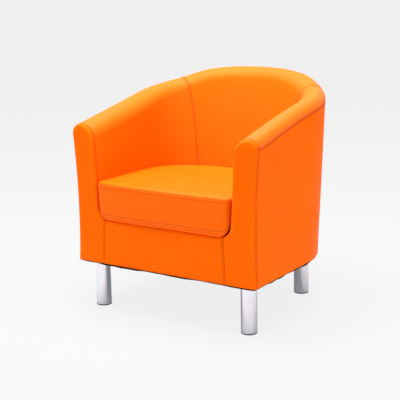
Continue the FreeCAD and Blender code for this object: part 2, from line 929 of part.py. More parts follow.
for label, members in (("leg_studs", studs), ("tee_nuts", tee_nuts)):
    group = doc.addObject("Part::Compound", label)
    group.Label = label
    group.Links = members
    parts.append(group)

# Dust cover: thin cloth under the hem, cut out round the legs

dust = new_body("dust_cover")
outline = new_sketch(dust, "XY_Plane", "frame_bottom - cover - dust_cloth")
width, back, corner, back_radius = outer_tub("dust_inset")
draw_tub(outline, width, "dust_inset - front_depth", back, corner, back_radius)
pad(dust, outline, "dust_cloth")
openings = new_sketch(dust, "XY_Plane", "frame_bottom - cover - dust_cloth")
for x, y in LEG_PLACES.values():
    draw_circle(openings, x, y, "leg_radius + gap")
pocket_upwards(dust, openings, "dust_cloth")
parts.append(dust)

# Seat deck: straps stapled over the frame, a felt pad and a cloth

for label, foot, thickness in (
    ("deck_pad", "seat_frame_top + 2 * strap", "border_top - cover - seat_frame_top - 2 * strap"),
    ("deck_cover", "border_top - cover", "cover"),
):
    layer = new_body(label)
    outline = new_sketch(layer, "XY_Plane", foot)
    draw_tub(
        outline,
        "half_width - arm_thickness - deck_clearance",
        "cap_depth + gap - front_depth",
        "back_depth - back_thickness - deck_clearance",
        "seat_corner_radius - deck_clearance",
        "seat_back_radius - deck_clearance",
    )
    pad(layer, outline, thickness)
    parts.append(layer)

LONG_STRAP_COUNT = 4
CROSS_STRAP_COUNT = 3

DECK = INSIDE.inset(S["deck_clearance"])
DECK_MIDDLE = (FRAME_FRONT + DECK.back_y + DECK.back_radius) / 2
STRAP_TOP = S["seat_frame_top"] + S["strap"]


def straps(count, pitch, bottom, turned_across):
    """Parallel straps clipped to the deck's outline, from front to back or from side to side."""
    outline = DECK.wire(FRAME_FRONT + 2 * S["gap"], bottom)
    clip = Part.Face(outline).extrude(Vector(0, 0, S["strap"]))
    width = S["strap_width"]
    found = []
    for i in range(count):
        edge = (i - (count - 1) / 2) * pitch - width / 2
        if turned_across:
            corner = Vector(-FAR, DECK_MIDDLE + edge, bottom)
            strap = Part.makeBox(2 * FAR, width, S["strap"], corner)
        else:
            corner = Vector(edge, -FAR, bottom)
            strap = Part.makeBox(width, 2 * FAR, S["strap"], corner)
        found += strap.common(clip).Solids
    return Part.makeCompound(found)


add_shape(
    "webbing_front_to_back",
    straps(LONG_STRAP_COUNT, S["strap_pitch_across"], S["seat_frame_top"], False),
)
add_shape(
    "webbing_side_to_side",
    straps(CROSS_STRAP_COUNT, S["strap_pitch_along"], STRAP_TOP, True),
)

# Seat cushion

CUSHION_BOTTOM = S["border_top"] + S["gap"]
CUSHION_TOP = CUSHION_BOTTOM + S["cushion_height"]
CUSHION_FRONT = -S["front_depth"] - S["cushion_proud"]


def cushion_outline(inset, narrowing, z):
    """Plan of the cushion at one height: the inside of the tub, less a clearance, with a bowed front."""
    plan = INSIDE.inset(S["cushion_clearance"] + inset)
    plan = Plan(
        plan.half_width - narrowing, plan.back_y + plan.back_radius, plan.corner, plan.back_radius
    )
    front = CUSHION_FRONT + S["cushion_front_bow"] + inset
    corner = S["cushion_front_corner"]
    half = plan.half_width - corner
    diagonal = corner * (1 - math.cos(QUARTER_TURN / 2))
    side_front = Vector(plan.half_width, front + corner, z)
    corner_middle = Vector(plan.half_width - diagonal, front + diagonal, z)
    front_end = Vector(half, front, z)
    front_middle = Vector(0, front - S["cushion_front_bow"], z)
    side_back = Vector(plan.half_width, plan.side_end, z)
    back_corner = plan.corner_point(plan.joint, z)
    back_corner_middle = plan.corner_point(plan.joint / 2, z)
    back = Vector(0, plan.back_y + plan.back_radius, z)

    def mirrored(point):
        return Vector(-point.x, point.y, point.z)

    curves = [
        Part.Arc(mirrored(front_end), front_middle, front_end),
        Part.Arc(front_end, corner_middle, side_front),
        Part.LineSegment(side_front, side_back),
        Part.Arc(side_back, back_corner_middle, back_corner),
        Part.Arc(back_corner, back, mirrored(back_corner)),
        Part.Arc(mirrored(back_corner), mirrored(back_corner_middle), mirrored(side_back)),
        Part.LineSegment(mirrored(side_back), mirrored(side_front)),
        Part.Arc(mirrored(side_front), mirrored(corner_middle), mirrored(front_end)),
    ]
    return Part.Wire([curve.toShape() for curve in curves])


CUSHION_CORNER_STEPS = 4
CUSHION_EDGE_STEPS = 3
CUSHION_CROWN_STEPS = 4


def cushion(depth):
    """A loft through the plan at rising heights: round lower corners, a soft edge and a crown."""
    outlines = []
    corner = S["cushion_lower_corner"] - depth
    for step in range(CUSHION_CORNER_STEPS + 1):
        angle = QUARTER_TURN * step / CUSHION_CORNER_STEPS
        narrowing = corner * (1 - math.sin(angle))
        z = CUSHION_BOTTOM + depth + corner * (1 - math.cos(angle))
        outlines.append(cushion_outline(depth, narrowing, z))
    edge = S["cushion_edge"]
    rim = CUSHION_TOP - S["cushion_crown"] - edge - depth
    for step in range(CUSHION_EDGE_STEPS + 1):
        angle = QUARTER_TURN * step / CUSHION_EDGE_STEPS
        inset = depth + edge * (1 - math.cos(angle))
        outlines.append(cushion_outline(inset, 0.0, rim + edge * math.sin(angle)))
    reach = S["cushion_crown_reach"] - edge
    for step in range(1, CUSHION_CROWN_STEPS + 1):
        share = step / CUSHION_CROWN_STEPS
        rise = S["cushion_crown"] * (1 - (1 - share) ** 2)
        outlines.append(cushion_outline(depth + edge + reach * share, 0.0, rim + edge + rise))
    return Part.makeLoft(outlines, True, True)


core = cushion(S["cover"])
shell = cushion(0.0)
add_shape("cushion_foam", core)
add_shape("cushion_cover", shell.cut(core))


def cushion_zip():
    """A flat strip along the middle of the cushion's round back."""
    back = INSIDE.inset(S["cushion_clearance"] - S["gap"])
    low = CUSHION_BOTTOM + (S["cushion_height"] - S["zip_width"]) / 2
    centre = Vector(0, back.back_y, low)
    outer = Part.makeCylinder(back.back_radius + S["zip_thickness"], S["zip_width"], centre)
    inner = Part.makeCylinder(back.back_radius, S["zip_width"], centre)
    corner = Vector(-S["zip_length"] / 2, 0, low)
    window = Part.makeBox(S["zip_length"], FAR, S["zip_width"], corner)
    return outer.cut(inner).common(window)


add_shape("cushion_zip", cushion_zip())

doc.recompute()

failed = [
    item.Label for item in doc.Objects if "Invalid" in item.State or "Error" in item.State
]
if failed:
    raise RuntimeError("These objects failed: " + ", ".join(failed))
for part in parts:
    if part.Shape.isNull() or not part.Shape.isValid() or not part.Shape.Solids:
        raise RuntimeError(f"{part.Label} has no valid solid")

os.makedirs("parts", exist_ok=True)
for part in parts:
    part.Shape.exportStep(f"parts/{part.Label}.step")
    volume = sum(solid.Volume for solid in part.Shape.Solids)
    print(f"{part.Label}: {len(part.Shape.Solids)} solid(s), {volume / 1000:.1f} cubic centimetres")
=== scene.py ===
import json
import math

import bmesh
import bpy
import numpy as np
from mathutils import Matrix, Vector


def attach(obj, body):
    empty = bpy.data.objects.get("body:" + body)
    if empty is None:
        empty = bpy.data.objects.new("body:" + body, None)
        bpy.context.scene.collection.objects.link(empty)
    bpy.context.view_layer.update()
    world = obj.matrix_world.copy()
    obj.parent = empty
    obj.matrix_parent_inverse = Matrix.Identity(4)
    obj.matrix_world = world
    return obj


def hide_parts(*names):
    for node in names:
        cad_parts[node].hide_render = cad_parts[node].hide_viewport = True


bl_info = {
    "name": "Tub Chair",
    "version": (1, 0, 0),
    "blender": (4, 5, 0),
    "location": "3D View > Sidebar > Tub Chair",
    "description": "Upholstery, stitching and finishes of a tub chair on its packed frame",
    "category": "Object",
}

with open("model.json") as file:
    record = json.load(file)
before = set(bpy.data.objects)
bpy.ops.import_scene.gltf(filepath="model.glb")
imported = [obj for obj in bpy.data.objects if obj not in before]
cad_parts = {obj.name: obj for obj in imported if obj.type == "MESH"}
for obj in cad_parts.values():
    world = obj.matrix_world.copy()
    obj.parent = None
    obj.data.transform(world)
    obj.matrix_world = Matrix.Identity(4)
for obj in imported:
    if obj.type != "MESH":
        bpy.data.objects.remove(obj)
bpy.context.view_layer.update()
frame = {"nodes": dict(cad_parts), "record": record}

TUB = "chair"
CUSHION = "seat_cushion"

# Metres throughout: the same outlines, rim heights and layers as the chair's solids

FRONT = -0.319
FRAME_FRONT = -0.305
HEM = 0.1585
FRAME_BOTTOM = 0.160
DECK = 0.304
SEAT_FRAME_TOP = 0.290
ROLL_OUTER = 0.032
ROLL_INNER = 0.050
FOAM = 0.024
OPENING_RADIUS = 0.040
CAP_EDGE = 0.012
BORDER_SEAM_TOP = 0.223
BORDER_SEAM_BOTTOM = 0.231
SEAM_ANGLE = math.radians(40)
RIM = (0.607, 0.669, 0.701, 0.728, 0.740)
FLARE = (0.008, 0.006, 0.024, 0.020, 0.015)
BELLY = (-0.012, 0.003, 0.012, 0.014, 0.012)
LEGS = ((-0.279, -0.263), (0.279, -0.263), (-0.225, 0.173), (0.225, 0.173))
LEG_RADIUS = 0.025

# Distances from a seam at which its rounded edge and its row of stitches are sampled
NEAR_SEAM = np.array([0.0, 0.3, 0.8, 1.5, 2.2, 2.8, 3.4, 4.0, 4.6, 5.4, 6.5, 8.0, 9.5]) / 1000


# Settings


class TubChairSizes(bpy.types.PropertyGroup):
    """Sizes of the seams, the stitches and the soft forms"""

    seam_depth: bpy.props.FloatProperty(
        name="Seam depth", description="How far a cover dips into a seam",
        default=0.0024, min=0.0, max=0.006, unit="LENGTH",
    )
    seam_reach: bpy.props.FloatProperty(
        name="Seam reach", description="How far from a seam a cover starts to dip",
        default=0.0045, min=0.001, max=0.012, unit="LENGTH",
    )
    topstitch: bpy.props.FloatProperty(
        name="Topstitch distance", description="From a seam to its row of stitches",
        default=0.0034, min=0.002, max=0.012, unit="LENGTH",
    )
    stitch_length: bpy.props.FloatProperty(
        name="Stitch length", description="Length of one stitch",
        default=0.0036, min=0.001, max=0.01, unit="LENGTH",
    )
    stitch_pitch: bpy.props.FloatProperty(
        name="Stitch pitch", description="From one stitch to the next",
        default=0.0048, min=0.002, max=0.02, unit="LENGTH",
    )
    thread: bpy.props.FloatProperty(
        name="Thread thickness", description="Thickness of the sewing thread",
        default=0.0013, min=0.0002, max=0.003, unit="LENGTH",
    )
    puff: bpy.props.FloatProperty(
        name="Puff", description="How far the wall's panels swell between their seams",
        default=0.0008, min=0.0, max=0.008, unit="LENGTH",
    )
    crown: bpy.props.FloatProperty(
        name="Cushion crown", description="Rise of the cushion's top between its edges",
        default=0.010, min=0.0, max=0.03, unit="LENGTH",
    )
    hem_wave: bpy.props.FloatProperty(
        name="Hem wave", description="How unevenly the hem and the dust cover hang",
        default=0.0022, min=0.0, max=0.004, unit="LENGTH",
    )


class TubChairFinish(bpy.types.PropertyGroup):
    """Colours and surface of the covers, the thread and the backdrop"""

    leather: bpy.props.FloatVectorProperty(
        name="Leathercloth", description="Colour of the covers", subtype="COLOR",
        size=3, default=(1.0, 0.130, 0.0), min=0.0, max=1.0,
    )
    # Painted shade: the covers' colour darkened and reddened in their seams, where shade falls
    fold: bpy.props.FloatVectorProperty(
        name="Painted seam shade", description="Colour of the covers deep in seams", subtype="COLOR",
        size=3, default=(0.74, 0.075, 0.0), min=0.0, max=1.0,
    )
    thread: bpy.props.FloatVectorProperty(
        name="Thread", description="Colour of the stitches", subtype="COLOR",
        size=3, default=(0.17, 0.017, 0.0), min=0.0, max=1.0,
    )
    grain: bpy.props.FloatProperty(
        name="Grain size", description="Width of one pebble of the grain",
        default=0.0012, min=0.0004, max=0.005, unit="LENGTH",
    )
    gloss: bpy.props.FloatProperty(
        name="Roughness", description="Roughness of the leathercloth", subtype="FACTOR",
        default=0.46, min=0.0, max=1.0,
    )
    backdrop: bpy.props.FloatVectorProperty(
        name="Backdrop", description="Colour of the floor and backdrop", subtype="COLOR",
        size=3, default=(0.915, 0.915, 0.915), min=0.0, max=1.0,
    )


# Materials


class Signal:
    """A node's output, used in Python sums as a number is."""

    def __init__(self, finish, socket):
        self.finish = finish
        self.socket = socket

    def maths(self, operation, first, second=0.0):
        return self.finish.node(
            "ShaderNodeMath", {"operation": operation}, {0: first, 1: second}
        )

    def __add__(self, other):
        return self.maths("ADD", self, other)

    def __sub__(self, other):
        return self.maths("SUBTRACT", self, other)

    def __rsub__(self, other):
        return self.maths("SUBTRACT", other, self)

    def __mul__(self, other):
        return self.maths("MULTIPLY", self, other)

    __radd__ = __add__
    __rmul__ = __mul__


class Nodes:
    """A node tree and the short ways to add to it."""

    def __init__(self, owner):
        owner.use_nodes = True
        self.tree = owner.node_tree

    def feed(self, node, inputs):
        for key, value in inputs.items():
            if isinstance(key, str) and key not in node.inputs:
                key = key.replace("_", " ")
            socket = node.inputs[key]
            if isinstance(value, Signal):
                self.tree.links.new(value.socket, socket)
            elif socket.type == "RGBA" and len(value) == 3:
                socket.default_value = (*value, 1.0)
            else:
                socket.default_value = value

    def node(self, kind, settings, inputs, output=0):
        """One node: its settings first, then the values or links of its sockets."""
        node = self.tree.nodes.new(kind)
        for name, value in settings.items():
            if name == "stops":
                ramp = node.color_ramp.elements
                for element, (place, shade) in zip(ramp, value):
                    element.position, element.color = place, (shade, shade, shade, 1)
            else:
                setattr(node, name, value)
        self.feed(node, inputs)
        return Signal(self, node.outputs[output])

    def place(self):
        return self.node("ShaderNodeTexCoord", {}, {}, "Object")

    def attribute(self, name):
        return self.node("ShaderNodeAttribute", {"attribute_name": name}, {}, "Fac")

    def noise(self, scale, detail=3.0, vector=None):
        vector = vector or self.place()
        inputs = {"Vector": vector, "Scale": scale, "Detail": detail}
        return self.node("ShaderNodeTexNoise", {}, inputs)

    def stretched(self, scale):
        return self.node("ShaderNodeMapping", {}, {"Vector": self.place(), "Scale": scale})

    def wave(self, direction, scale, distortion=0.0):
        settings = {"bands_direction": direction}
        inputs = {"Vector": self.place(), "Scale": scale, "Distortion": distortion}
        return self.node("ShaderNodeTexWave", settings, inputs, "Fac")

    def ramp(self, signal, low, high):
        """0 below low, 1 above high."""
        stops = {"stops": [(low, 0.0), (high, 1.0)]}
        return self.node("ShaderNodeValToRGB", stops, {"Fac": signal})

    def mix(self, share, first, second):
        inputs = {"Factor": share, 6: first, 7: second}
        return self.node("ShaderNodeMix", {"data_type": "RGBA"}, inputs, 2)

    def bump(self, height, depth, strength=1.0, normal=None):
        inputs = {"Height": height, "Distance": depth, "Strength": strength}
        if normal:
            inputs["Normal"] = normal
        return self.node("ShaderNodeBump", {}, inputs)

    def light_path(self, name):
        return self.node("ShaderNodeLightPath", {}, {}, name)


class Finish(Nodes):
    """A node material with one Principled shader."""

    def __init__(self, name, **constants):
        self.material = bpy.data.materials.new(name)
        super().__init__(self.material)
        self.shader = self.tree.nodes["Principled BSDF"]
        self.feed(self.shader, constants)

    def surface(self, **inputs):
        self.feed(self.shader, inputs)
        return self.material


def scaled(colour, factor):
    return tuple(min(1.0, channel * factor) for channel in colour)


def leathercloth(name, colours, shine, seamed=True):
    """Coated cloth: pebbled grain, cloudy tone, painted shade in the seams and a polish where hands
    rub it.
    """
    finish = Finish(name, Specular_IOR_Level=shine, Specular_Tint=(1.0, 0.6, 0.3))
    base = tuple(colours.leather)
    clouds = finish.noise(7.0, 4.0)
    tone = finish.mix(finish.ramp(clouds, 0.3, 0.7), scaled(base, 0.955), scaled(base, 1.03))
    streaks = finish.noise(38.0, 3.0)
    tone = finish.mix(finish.ramp(streaks, 0.45, 0.8) * 0.16, tone, scaled(base, 0.86))
    rough = finish.noise(22.0, 3.0) * 0.14 + (colours.gloss - 0.07)
    cells = finish.node(
        "ShaderNodeTexVoronoi",
        {"feature": "DISTANCE_TO_EDGE"},
        {"Vector": finish.place(), "Scale": 1 / colours.grain},
    )
    pebbles = finish.ramp(cells, 0.02, 0.35)
    tone = finish.mix((1 - pebbles) * 0.10, tone, scaled(base, 0.62))
    height = pebbles * 0.7 + finish.noise(2.2 / colours.grain, 2.0) * 0.5
    normal = finish.bump(height, 0.00035, 0.55)
    normal = finish.bump(finish.noise(46.0, 2.0), 0.0016, 0.30, normal)
    if seamed:
        seam, rub = finish.attribute("seam"), finish.attribute("rub")
        # Painted shade: the seam value mixes the cover towards the fold colour in its seams and along
        # their stitches
        tone = finish.mix(seam, tone, tuple(colours.fold))
        tone = finish.mix(rub * 0.10, tone, (1.0, 0.24, 0.01))
        rough = rough - rub * 0.09 + seam * 0.12
    return finish.surface(Base_Color=tone, Roughness=rough, Normal=normal)


def thread_finish(colours):
    """Sewing thread with slanting bands where its strands twist."""
    finish = Finish("thread", Specular_IOR_Level=0.3)
    base = tuple(colours.thread)
    twist = finish.wave("DIAGONAL", 700.0, 1.5)
    tone = finish.mix(twist * 0.4, base, scaled(base, 0.55))
    normal = finish.bump(twist, 0.0002, 0.6)
    return finish.surface(Base_Color=tone, Roughness=0.62 + twist * 0.1, Normal=normal)


def cloth_finish(name, base, pitch, speck=0.25):
    """Thin cloth: a crossed weave with pale flecks of lint."""
    finish = Finish(name, Specular_IOR_Level=0.2)
    weave = finish.wave("X", 1 / pitch, 0.6) * 0.5 + finish.wave("Y", 1 / pitch, 0.6) * 0.5
    lint = finish.ramp(finish.noise(420.0, 3.0), 0.66, 0.82)
    tone = finish.mix(weave, scaled(base, 0.7), scaled(base, 1.5))
    tone = finish.mix(lint * speck, tone, (0.35, 0.34, 0.33))
    normal = finish.bump(weave, 0.0004, 0.5)
    return finish.surface(Base_Color=tone, Roughness=0.86 + lint * 0.1, Normal=normal)


def chrome_finish():
    """Polished plate with faint lengthwise drawing marks, dust specks and small dulled patches."""
    finish = Finish("chrome", Metallic=1.0)
    drawn = finish.noise(1.0, 4.0, finish.stretched((900.0, 900.0, 25.0)))
    dull = finish.ramp(finish.noise(16.0, 4.0), 0.5, 0.85)
    specks = finish.ramp(finish.noise(900.0, 2.0), 0.74, 0.8)
    tone = finish.mix(dull, (0.68, 0.675, 0.73), (0.61, 0.605, 0.65))
    tone = finish.mix(specks * 0.25, tone, (0.5, 0.49, 0.47))
    rough = 0.05 + drawn * 0.04 + dull * 0.07 + specks * 0.2
    normal = finish.bump(drawn, 0.00004, 0.3)
    return finish.surface(Base_Color=tone, Roughness=rough, Normal=normal)


def moulded_finish():
    """Black moulded plastic with a fine spark texture and scuffs low down."""
    finish = Finish("black_plastic", Specular_IOR_Level=0.4)
    spark = finish.noise(1500.0, 3.0)
    scuffs = finish.ramp(finish.noise(90.0, 5.0), 0.58, 0.75)
    tone = finish.mix(scuffs * 0.35, (0.012, 0.012, 0.013), (0.06, 0.058, 0.055))
    normal = finish.bump(spark, 0.00015, 0.5)
    rough = 0.42 + scuffs * 0.3
    return finish.surface(Base_Color=tone, Roughness=rough, Normal=normal)


def timber_finish(name, pale, dark, across):
    """Sawn timber and plywood: long grain and plies seen on edges."""
    finish = Finish(name, Specular_IOR_Level=0.3)
    grain = finish.noise(1.0, 5.0, finish.stretched(across))
    plies = finish.wave("Z", 90.0, 0.4)
    tone = finish.mix(finish.ramp(grain, 0.35, 0.7), pale, dark)
    tone = finish.mix(plies * 0.18, tone, dark)
    normal = finish.bump(grain, 0.0005, 0.6)
    rough = 0.68 + grain * 0.15
    return finish.surface(Base_Color=tone, Roughness=rough, Normal=normal)


def webbing_finish():
    """Woven elastic straps with lengthwise ribs and a crossed weft."""
    finish = Finish("webbing", Specular_IOR_Level=0.25)
    ribs, weft = finish.wave("X", 110.0), finish.wave("Y", 110.0)
    tone = finish.mix(ribs * weft, (0.012, 0.012, 0.013), (0.07, 0.07, 0.075))
    normal = finish.bump(ribs * 0.6 + weft * 0.4, 0.0006, 0.7)
    return finish.surface(Base_Color=tone, Roughness=0.8 + weft * 0.1, Normal=normal)


def fastener_finish():
    """Zinc-plated steel with a cloudy passivated tone and fine turning marks."""
    finish = Finish("zinc_steel", Metallic=1.0)
    cloud = finish.noise(160.0, 4.0)
    marks = finish.noise(1.0, 2.0, finish.stretched((60.0, 60.0, 3000.0)))
    tone = finish.mix(cloud, (0.55, 0.55, 0.52), (0.72, 0.71, 0.66))
    normal = finish.bump(marks, 0.00008, 0.4)
    return finish.surface(Base_Color=tone, Roughness=0.3 + cloud * 0.2, Normal=normal)


# Outlines and sections of the tub


class Outline:
    """A half plan: a straight side, a corner arc tangent to it and a back arc tangent to that."""

    def __init__(self, half_width, back, corner, back_radius):
        self.half_width, self.back = half_width, back
        self.corner, self.back_radius = corner, back_radius
        self.corner_x = half_width - corner
        reach = back_radius - corner
        rise = math.sqrt(reach ** 2 - self.corner_x ** 2)
        self.back_y = back - back_radius
        self.side_end = self.back_y + rise
        self.joint = math.atan2(rise, self.corner_x)
        self.straight = self.side_end - FRAME_FRONT
        self.corner_end = self.straight + self.joint * corner
        self.half_length = self.corner_end + (math.pi / 2 - self.joint) * back_radius

    def inset(self, distance):
        return Outline(
            self.half_width - distance,
            self.back - distance,
            self.corner - distance,
            self.back_radius - distance,
        )

    def at(self, path):
        """Points and inward directions at path lengths along the right half."""
        in_back = path > self.corner_end
        corner_angle = np.clip((path - self.straight) / self.corner, 0, self.joint)
        back_angle = self.joint + (path - self.corner_end) / self.back_radius
        angle = np.where(in_back, back_angle, corner_angle)
        radius = np.where(in_back, self.back_radius, self.corner)
        x = np.where(in_back, 0.0, self.corner_x) + radius * np.cos(angle)
        y = np.where(in_back, self.back_y, self.side_end) + radius * np.sin(angle)
        y = np.where(path < self.straight, FRAME_FRONT + path, y)
        return x, y, -np.cos(angle), -np.sin(angle)

    def hit(self, x, y, across, along):
        """How far rays from outside travel before they meet the outline."""
        with np.errstate(divide="ignore", invalid="ignore"):
            travel = (x - self.half_width) / -across
        on_side = (across < 0) & (y + travel * along <= self.side_end)
        best = np.where(on_side, travel, np.inf)
        arcs = (
            (self.corner_x, self.side_end, self.corner, 0.0, self.joint),
            (0.0, self.back_y, self.back_radius, self.joint, math.pi / 2 + 0.001),
        )
        for centre_x, centre_y, radius, first, last in arcs:
            offset_x, offset_y = x - centre_x, y - centre_y
            towards = offset_x * across + offset_y * along
            within = towards ** 2 - (offset_x ** 2 + offset_y ** 2 - radius ** 2)
            travel = -towards - np.sqrt(np.maximum(within, 0))
            angle = np.arctan2(offset_y + travel * along, offset_x + travel * across)
            meets = (within >= 0) & (angle >= first) & (angle <= last)
            best = np.where(meets, np.minimum(best, travel), best)
        return best


OUTSIDE = Outline(0.334, 0.313, 0.290, 0.380)
INSIDE = Outline(0.244, 0.138, 0.170, 0.300)
MIDDLE = OUTSIDE.half_length
CROSS_SEAM = OUTSIDE.straight + SEAM_ANGLE * OUTSIDE.corner
PLACES = np.array([0.0, OUTSIDE.straight, CROSS_SEAM, OUTSIDE.corner_end, MIDDLE])


def along_rim(values, path):
    """A size between its values at the five places, as a cubic curve that is level at the back."""
    values = np.array(values)
    steps = np.diff(values) / np.diff(PLACES)
    slopes = np.array([steps[0], *((steps[:-1] + steps[1:]) / 2), 0.0])
    low = np.clip(np.searchsorted(PLACES, path, side="right") - 1, 0, 3)
    high = low + 1
    width = PLACES[high] - PLACES[low]
    part = (path - PLACES[low]) / width
    rest = 1 - part
    return (
        values[low] * rest ** 2 * (1 + 2 * part)
        + slopes[low] * width * part * rest ** 2
        + values[high] * part ** 2 * (3 - 2 * part)
        - slopes[high] * width * rest * part ** 2
    )


class Wall:
    """Sections of the wall at a grid of path lengths from the right front, round to the left.

    In a section, u is the distance inwards from the hem's outline and z the height. The outside
    is a quadratic curve with the belly and the flare, the rim two arcs that meet at the crest,
    and the inside a straight line that is tangent to the inner arc and ends on the seat's outline.
    """

    def __init__(self, path):
        side = np.where(path > MIDDLE, -1.0, 1.0)
        half = np.where(path > MIDDLE, 2 * MIDDLE - path, path)
        x, y, across, along = OUTSIDE.at(half)
        self.crest = along_rim(RIM, half)
        self.flare = along_rim(FLARE, half)
        self.belly = along_rim(BELLY, half)
        self.middle = ROLL_OUTER - self.flare
        self.shoulder = self.crest - ROLL_OUTER
        self.roll_z = self.crest - ROLL_INNER
        reach = INSIDE.hit(x, y, across, along) - self.middle
        drop = SEAT_FRAME_TOP - self.roll_z
        tangent = np.arccos(ROLL_INNER / np.hypot(reach, drop))
        self.lean = np.arctan2(drop, reach) + tangent
        self.x, self.y = side * x, y
        self.across, self.along = side * across, along

    def place(self, u, z):
        z = np.broadcast_to(z, np.broadcast_shapes(u.shape, z.shape))
        return np.stack([self.x + u * self.across, self.y + u * self.along, z], axis=-1)

    def outside(self, z):
        share = (z - FRAME_BOTTOM) / (self.shoulder - FRAME_BOTTOM)
        u = -2 * self.belly * share * (1 - share) - self.flare * share ** 2
        return u, z + 0 * u

    def outer_roll(self, angle):
        u = self.middle - ROLL_OUTER * np.cos(angle)
        return u, self.shoulder + ROLL_OUTER * np.sin(angle)

    def inner_roll(self, share):
        angle = math.pi / 2 + (self.lean - math.pi / 2) * share
        u = self.middle + ROLL_INNER * np.cos(angle)
        return u, self.roll_z + ROLL_INNER * np.sin(angle)

    def inner_line(self, share, foot):
        u_end, z_end = self.inner_roll(1.0)
        drop = (z_end - foot) * share
        return u_end + drop * np.tan(self.lean), z_end - drop


# Meshes


def spread(length, step, start=True, end=True):
    """Distances from 0 to a length: close together near its seams, and a step apart between."""
    low = NEAR_SEAM if start else np.array([0.0])
    high = length - NEAR_SEAM[::-1] if end else np.array([length])
    count = max(2, math.ceil((high[0] - low[-1]) / step))
    return np.concatenate([low[:-1], np.linspace(low[-1], high[0], count + 1), high[1:]])


def lengths(grid, axis):
    """Distance along one axis of a grid of points from its first row."""
    steps = np.linalg.norm(np.diff(grid, axis=axis), axis=-1)
    zero = np.zeros_like(np.take(steps, [0], axis=axis))
    return np.cumsum(np.concatenate([zero, steps], axis=axis), axis=axis)


def normals(grid, outward, closed=False):
    """Unit normals of a grid, all turned so that most agree with a rough outward direction.

    A closed grid goes round in its columns, and its first and last rows are single points.
    """
    wide = np.concatenate([grid[:, -1:], grid, grid[:, :1]], axis=1) if closed else grid
    cross = np.cross(np.gradient(wide, axis=0), np.gradient(wide, axis=1))
    cross = cross[:, 1:-1] if closed else cross
    cross /= np.maximum(np.linalg.norm(cross, axis=-1, keepdims=True), 1e-12)
    if closed:
        cross[0], cross[-1] = cross[1].mean(axis=0), cross[-2].mean(axis=0)
    return cross * (-1.0 if (cross * outward).sum() < 0 else 1.0)


def ripple(points, pitch, seed):
    """Smooth unevenness from -1 to 1: the mean of eight sine waves in seeded directions."""
    random = np.random.default_rng(seed)
    waves = random.normal(size=(8, 3))
    waves /= np.linalg.norm(waves, axis=1, keepdims=True)
    waves *= random.uniform(0.6, 1.4, (8, 1)) * 2 * math.pi / pitch
    phases = random.uniform(0, 2 * math.pi, 8)
    return np.sin(points @ waves.T + phases).mean(-1)


def grid_faces(rows, columns, start=0, closed=False):
    """Quads between the rows of a grid, with its last column joined to its first if closed."""
    index = start + np.arange(rows * columns).reshape(rows, columns)
    if closed:
        index = np.concatenate([index, index[:, :1]], axis=1)
    quads = [index[:-1, :-1], index[1:, :-1], index[1:, 1:], index[:-1, 1:]]
    return np.stack(quads, axis=-1).reshape(-1, 4)


def make_piece(name, points, faces, material, body, values=None, weld=True):
    """A mesh object from arrays, with doubles merged and faces turned outwards."""
    first, second, third, fourth = points[faces].transpose(1, 0, 2)
    volume = (first * np.cross(second, third)).sum() + (first * np.cross(third, fourth)).sum()
    if volume < 0:
        faces = faces[:, ::-1]
    mesh = bpy.data.meshes.new(name)
    mesh.from_pydata(points.tolist(), [], faces.tolist())
    give_values(mesh, values or {})
    if weld:
        merge_doubles(mesh)
    mesh.shade_smooth()
    mesh.materials.append(material)
    piece = bpy.data.objects.new(name, mesh)
    bpy.context.scene.collection.objects.link(piece)
    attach(piece, body)
    return piece


def give_values(mesh, values):
    """Named values on a mesh's points, for the materials to read."""
    for key, value in values.items():
        layer = mesh.attributes.new(key, "FLOAT", "POINT")
        layer.data.foreach_set("value", np.ascontiguousarray(value.ravel(), dtype=np.float32))


def merge_doubles(mesh):
    """Joins points that lie on one another, as at a grid's single points and edges."""
    edit = bmesh.new()
    edit.from_mesh(mesh)
    bmesh.ops.remove_doubles(edit, verts=edit.verts, dist=2e-6)
    bmesh.ops.dissolve_degenerate(edit, edges=edit.edges, dist=1e-7)
    edit.to_mesh(mesh)
    edit.free()


def closed_slab(outer, inner):
    """Points and faces of a closed solid between two grids of the same size."""
    rows, columns = outer.shape[:2]
    count = rows * columns
    points = np.concatenate([outer.reshape(-1, 3), inner.reshape(-1, 3)])
    index = np.arange(count).reshape(rows, columns)
    border = np.concatenate(
        [index[0, :-1], index[:-1, -1], index[-1, :0:-1], index[:0:-1, 0]]
    )
    following = np.roll(border, -1)
    walls = np.stack([border, following, following + count, border + count], axis=-1)
    front, back = grid_faces(rows, columns)[:, ::-1], grid_faces(rows, columns, count)
    return points, np.concatenate([front, back, walls])


def tuck(distance, sizes):
    """Dip of a cover into a seam: a rounded edge, and a shallow channel under the stitches."""
    near = np.clip(distance / sizes.seam_reach, 0, 1)
    edge = sizes.seam_depth * (1 - np.sqrt(np.maximum(1 - (1 - near) ** 2, 0)))
    channel = 0.0005 * np.exp(-((distance - sizes.topstitch) / 0.0008) ** 2)
    return edge + channel


def seam_shade(distance, sizes, stitched):
    """Painted shade for the material: full in the seam, lighter along its stitches, none elsewhere.
    """
    shade = 0.85 * np.exp(-(distance / 0.0011) ** 2)
    if stitched:
        shade += 0.35 * np.exp(-((distance - sizes.topstitch) / 0.0010) ** 2)
    return np.minimum(shade, 1)


# Rows of stitches that the pieces keep here for the stitching operator
STITCH_ROWS = []


def stitch_row(points, facing, group):
    """Keeps a line of points and normals for the stitching."""
    STITCH_ROWS.append((np.asarray(points), np.asarray(facing), group))


def between(at, along, rows):
    """Rows of values at distances along a path, read between those at its own distances."""
    return np.stack([np.interp(at, along, column) for column in rows.T], -1)


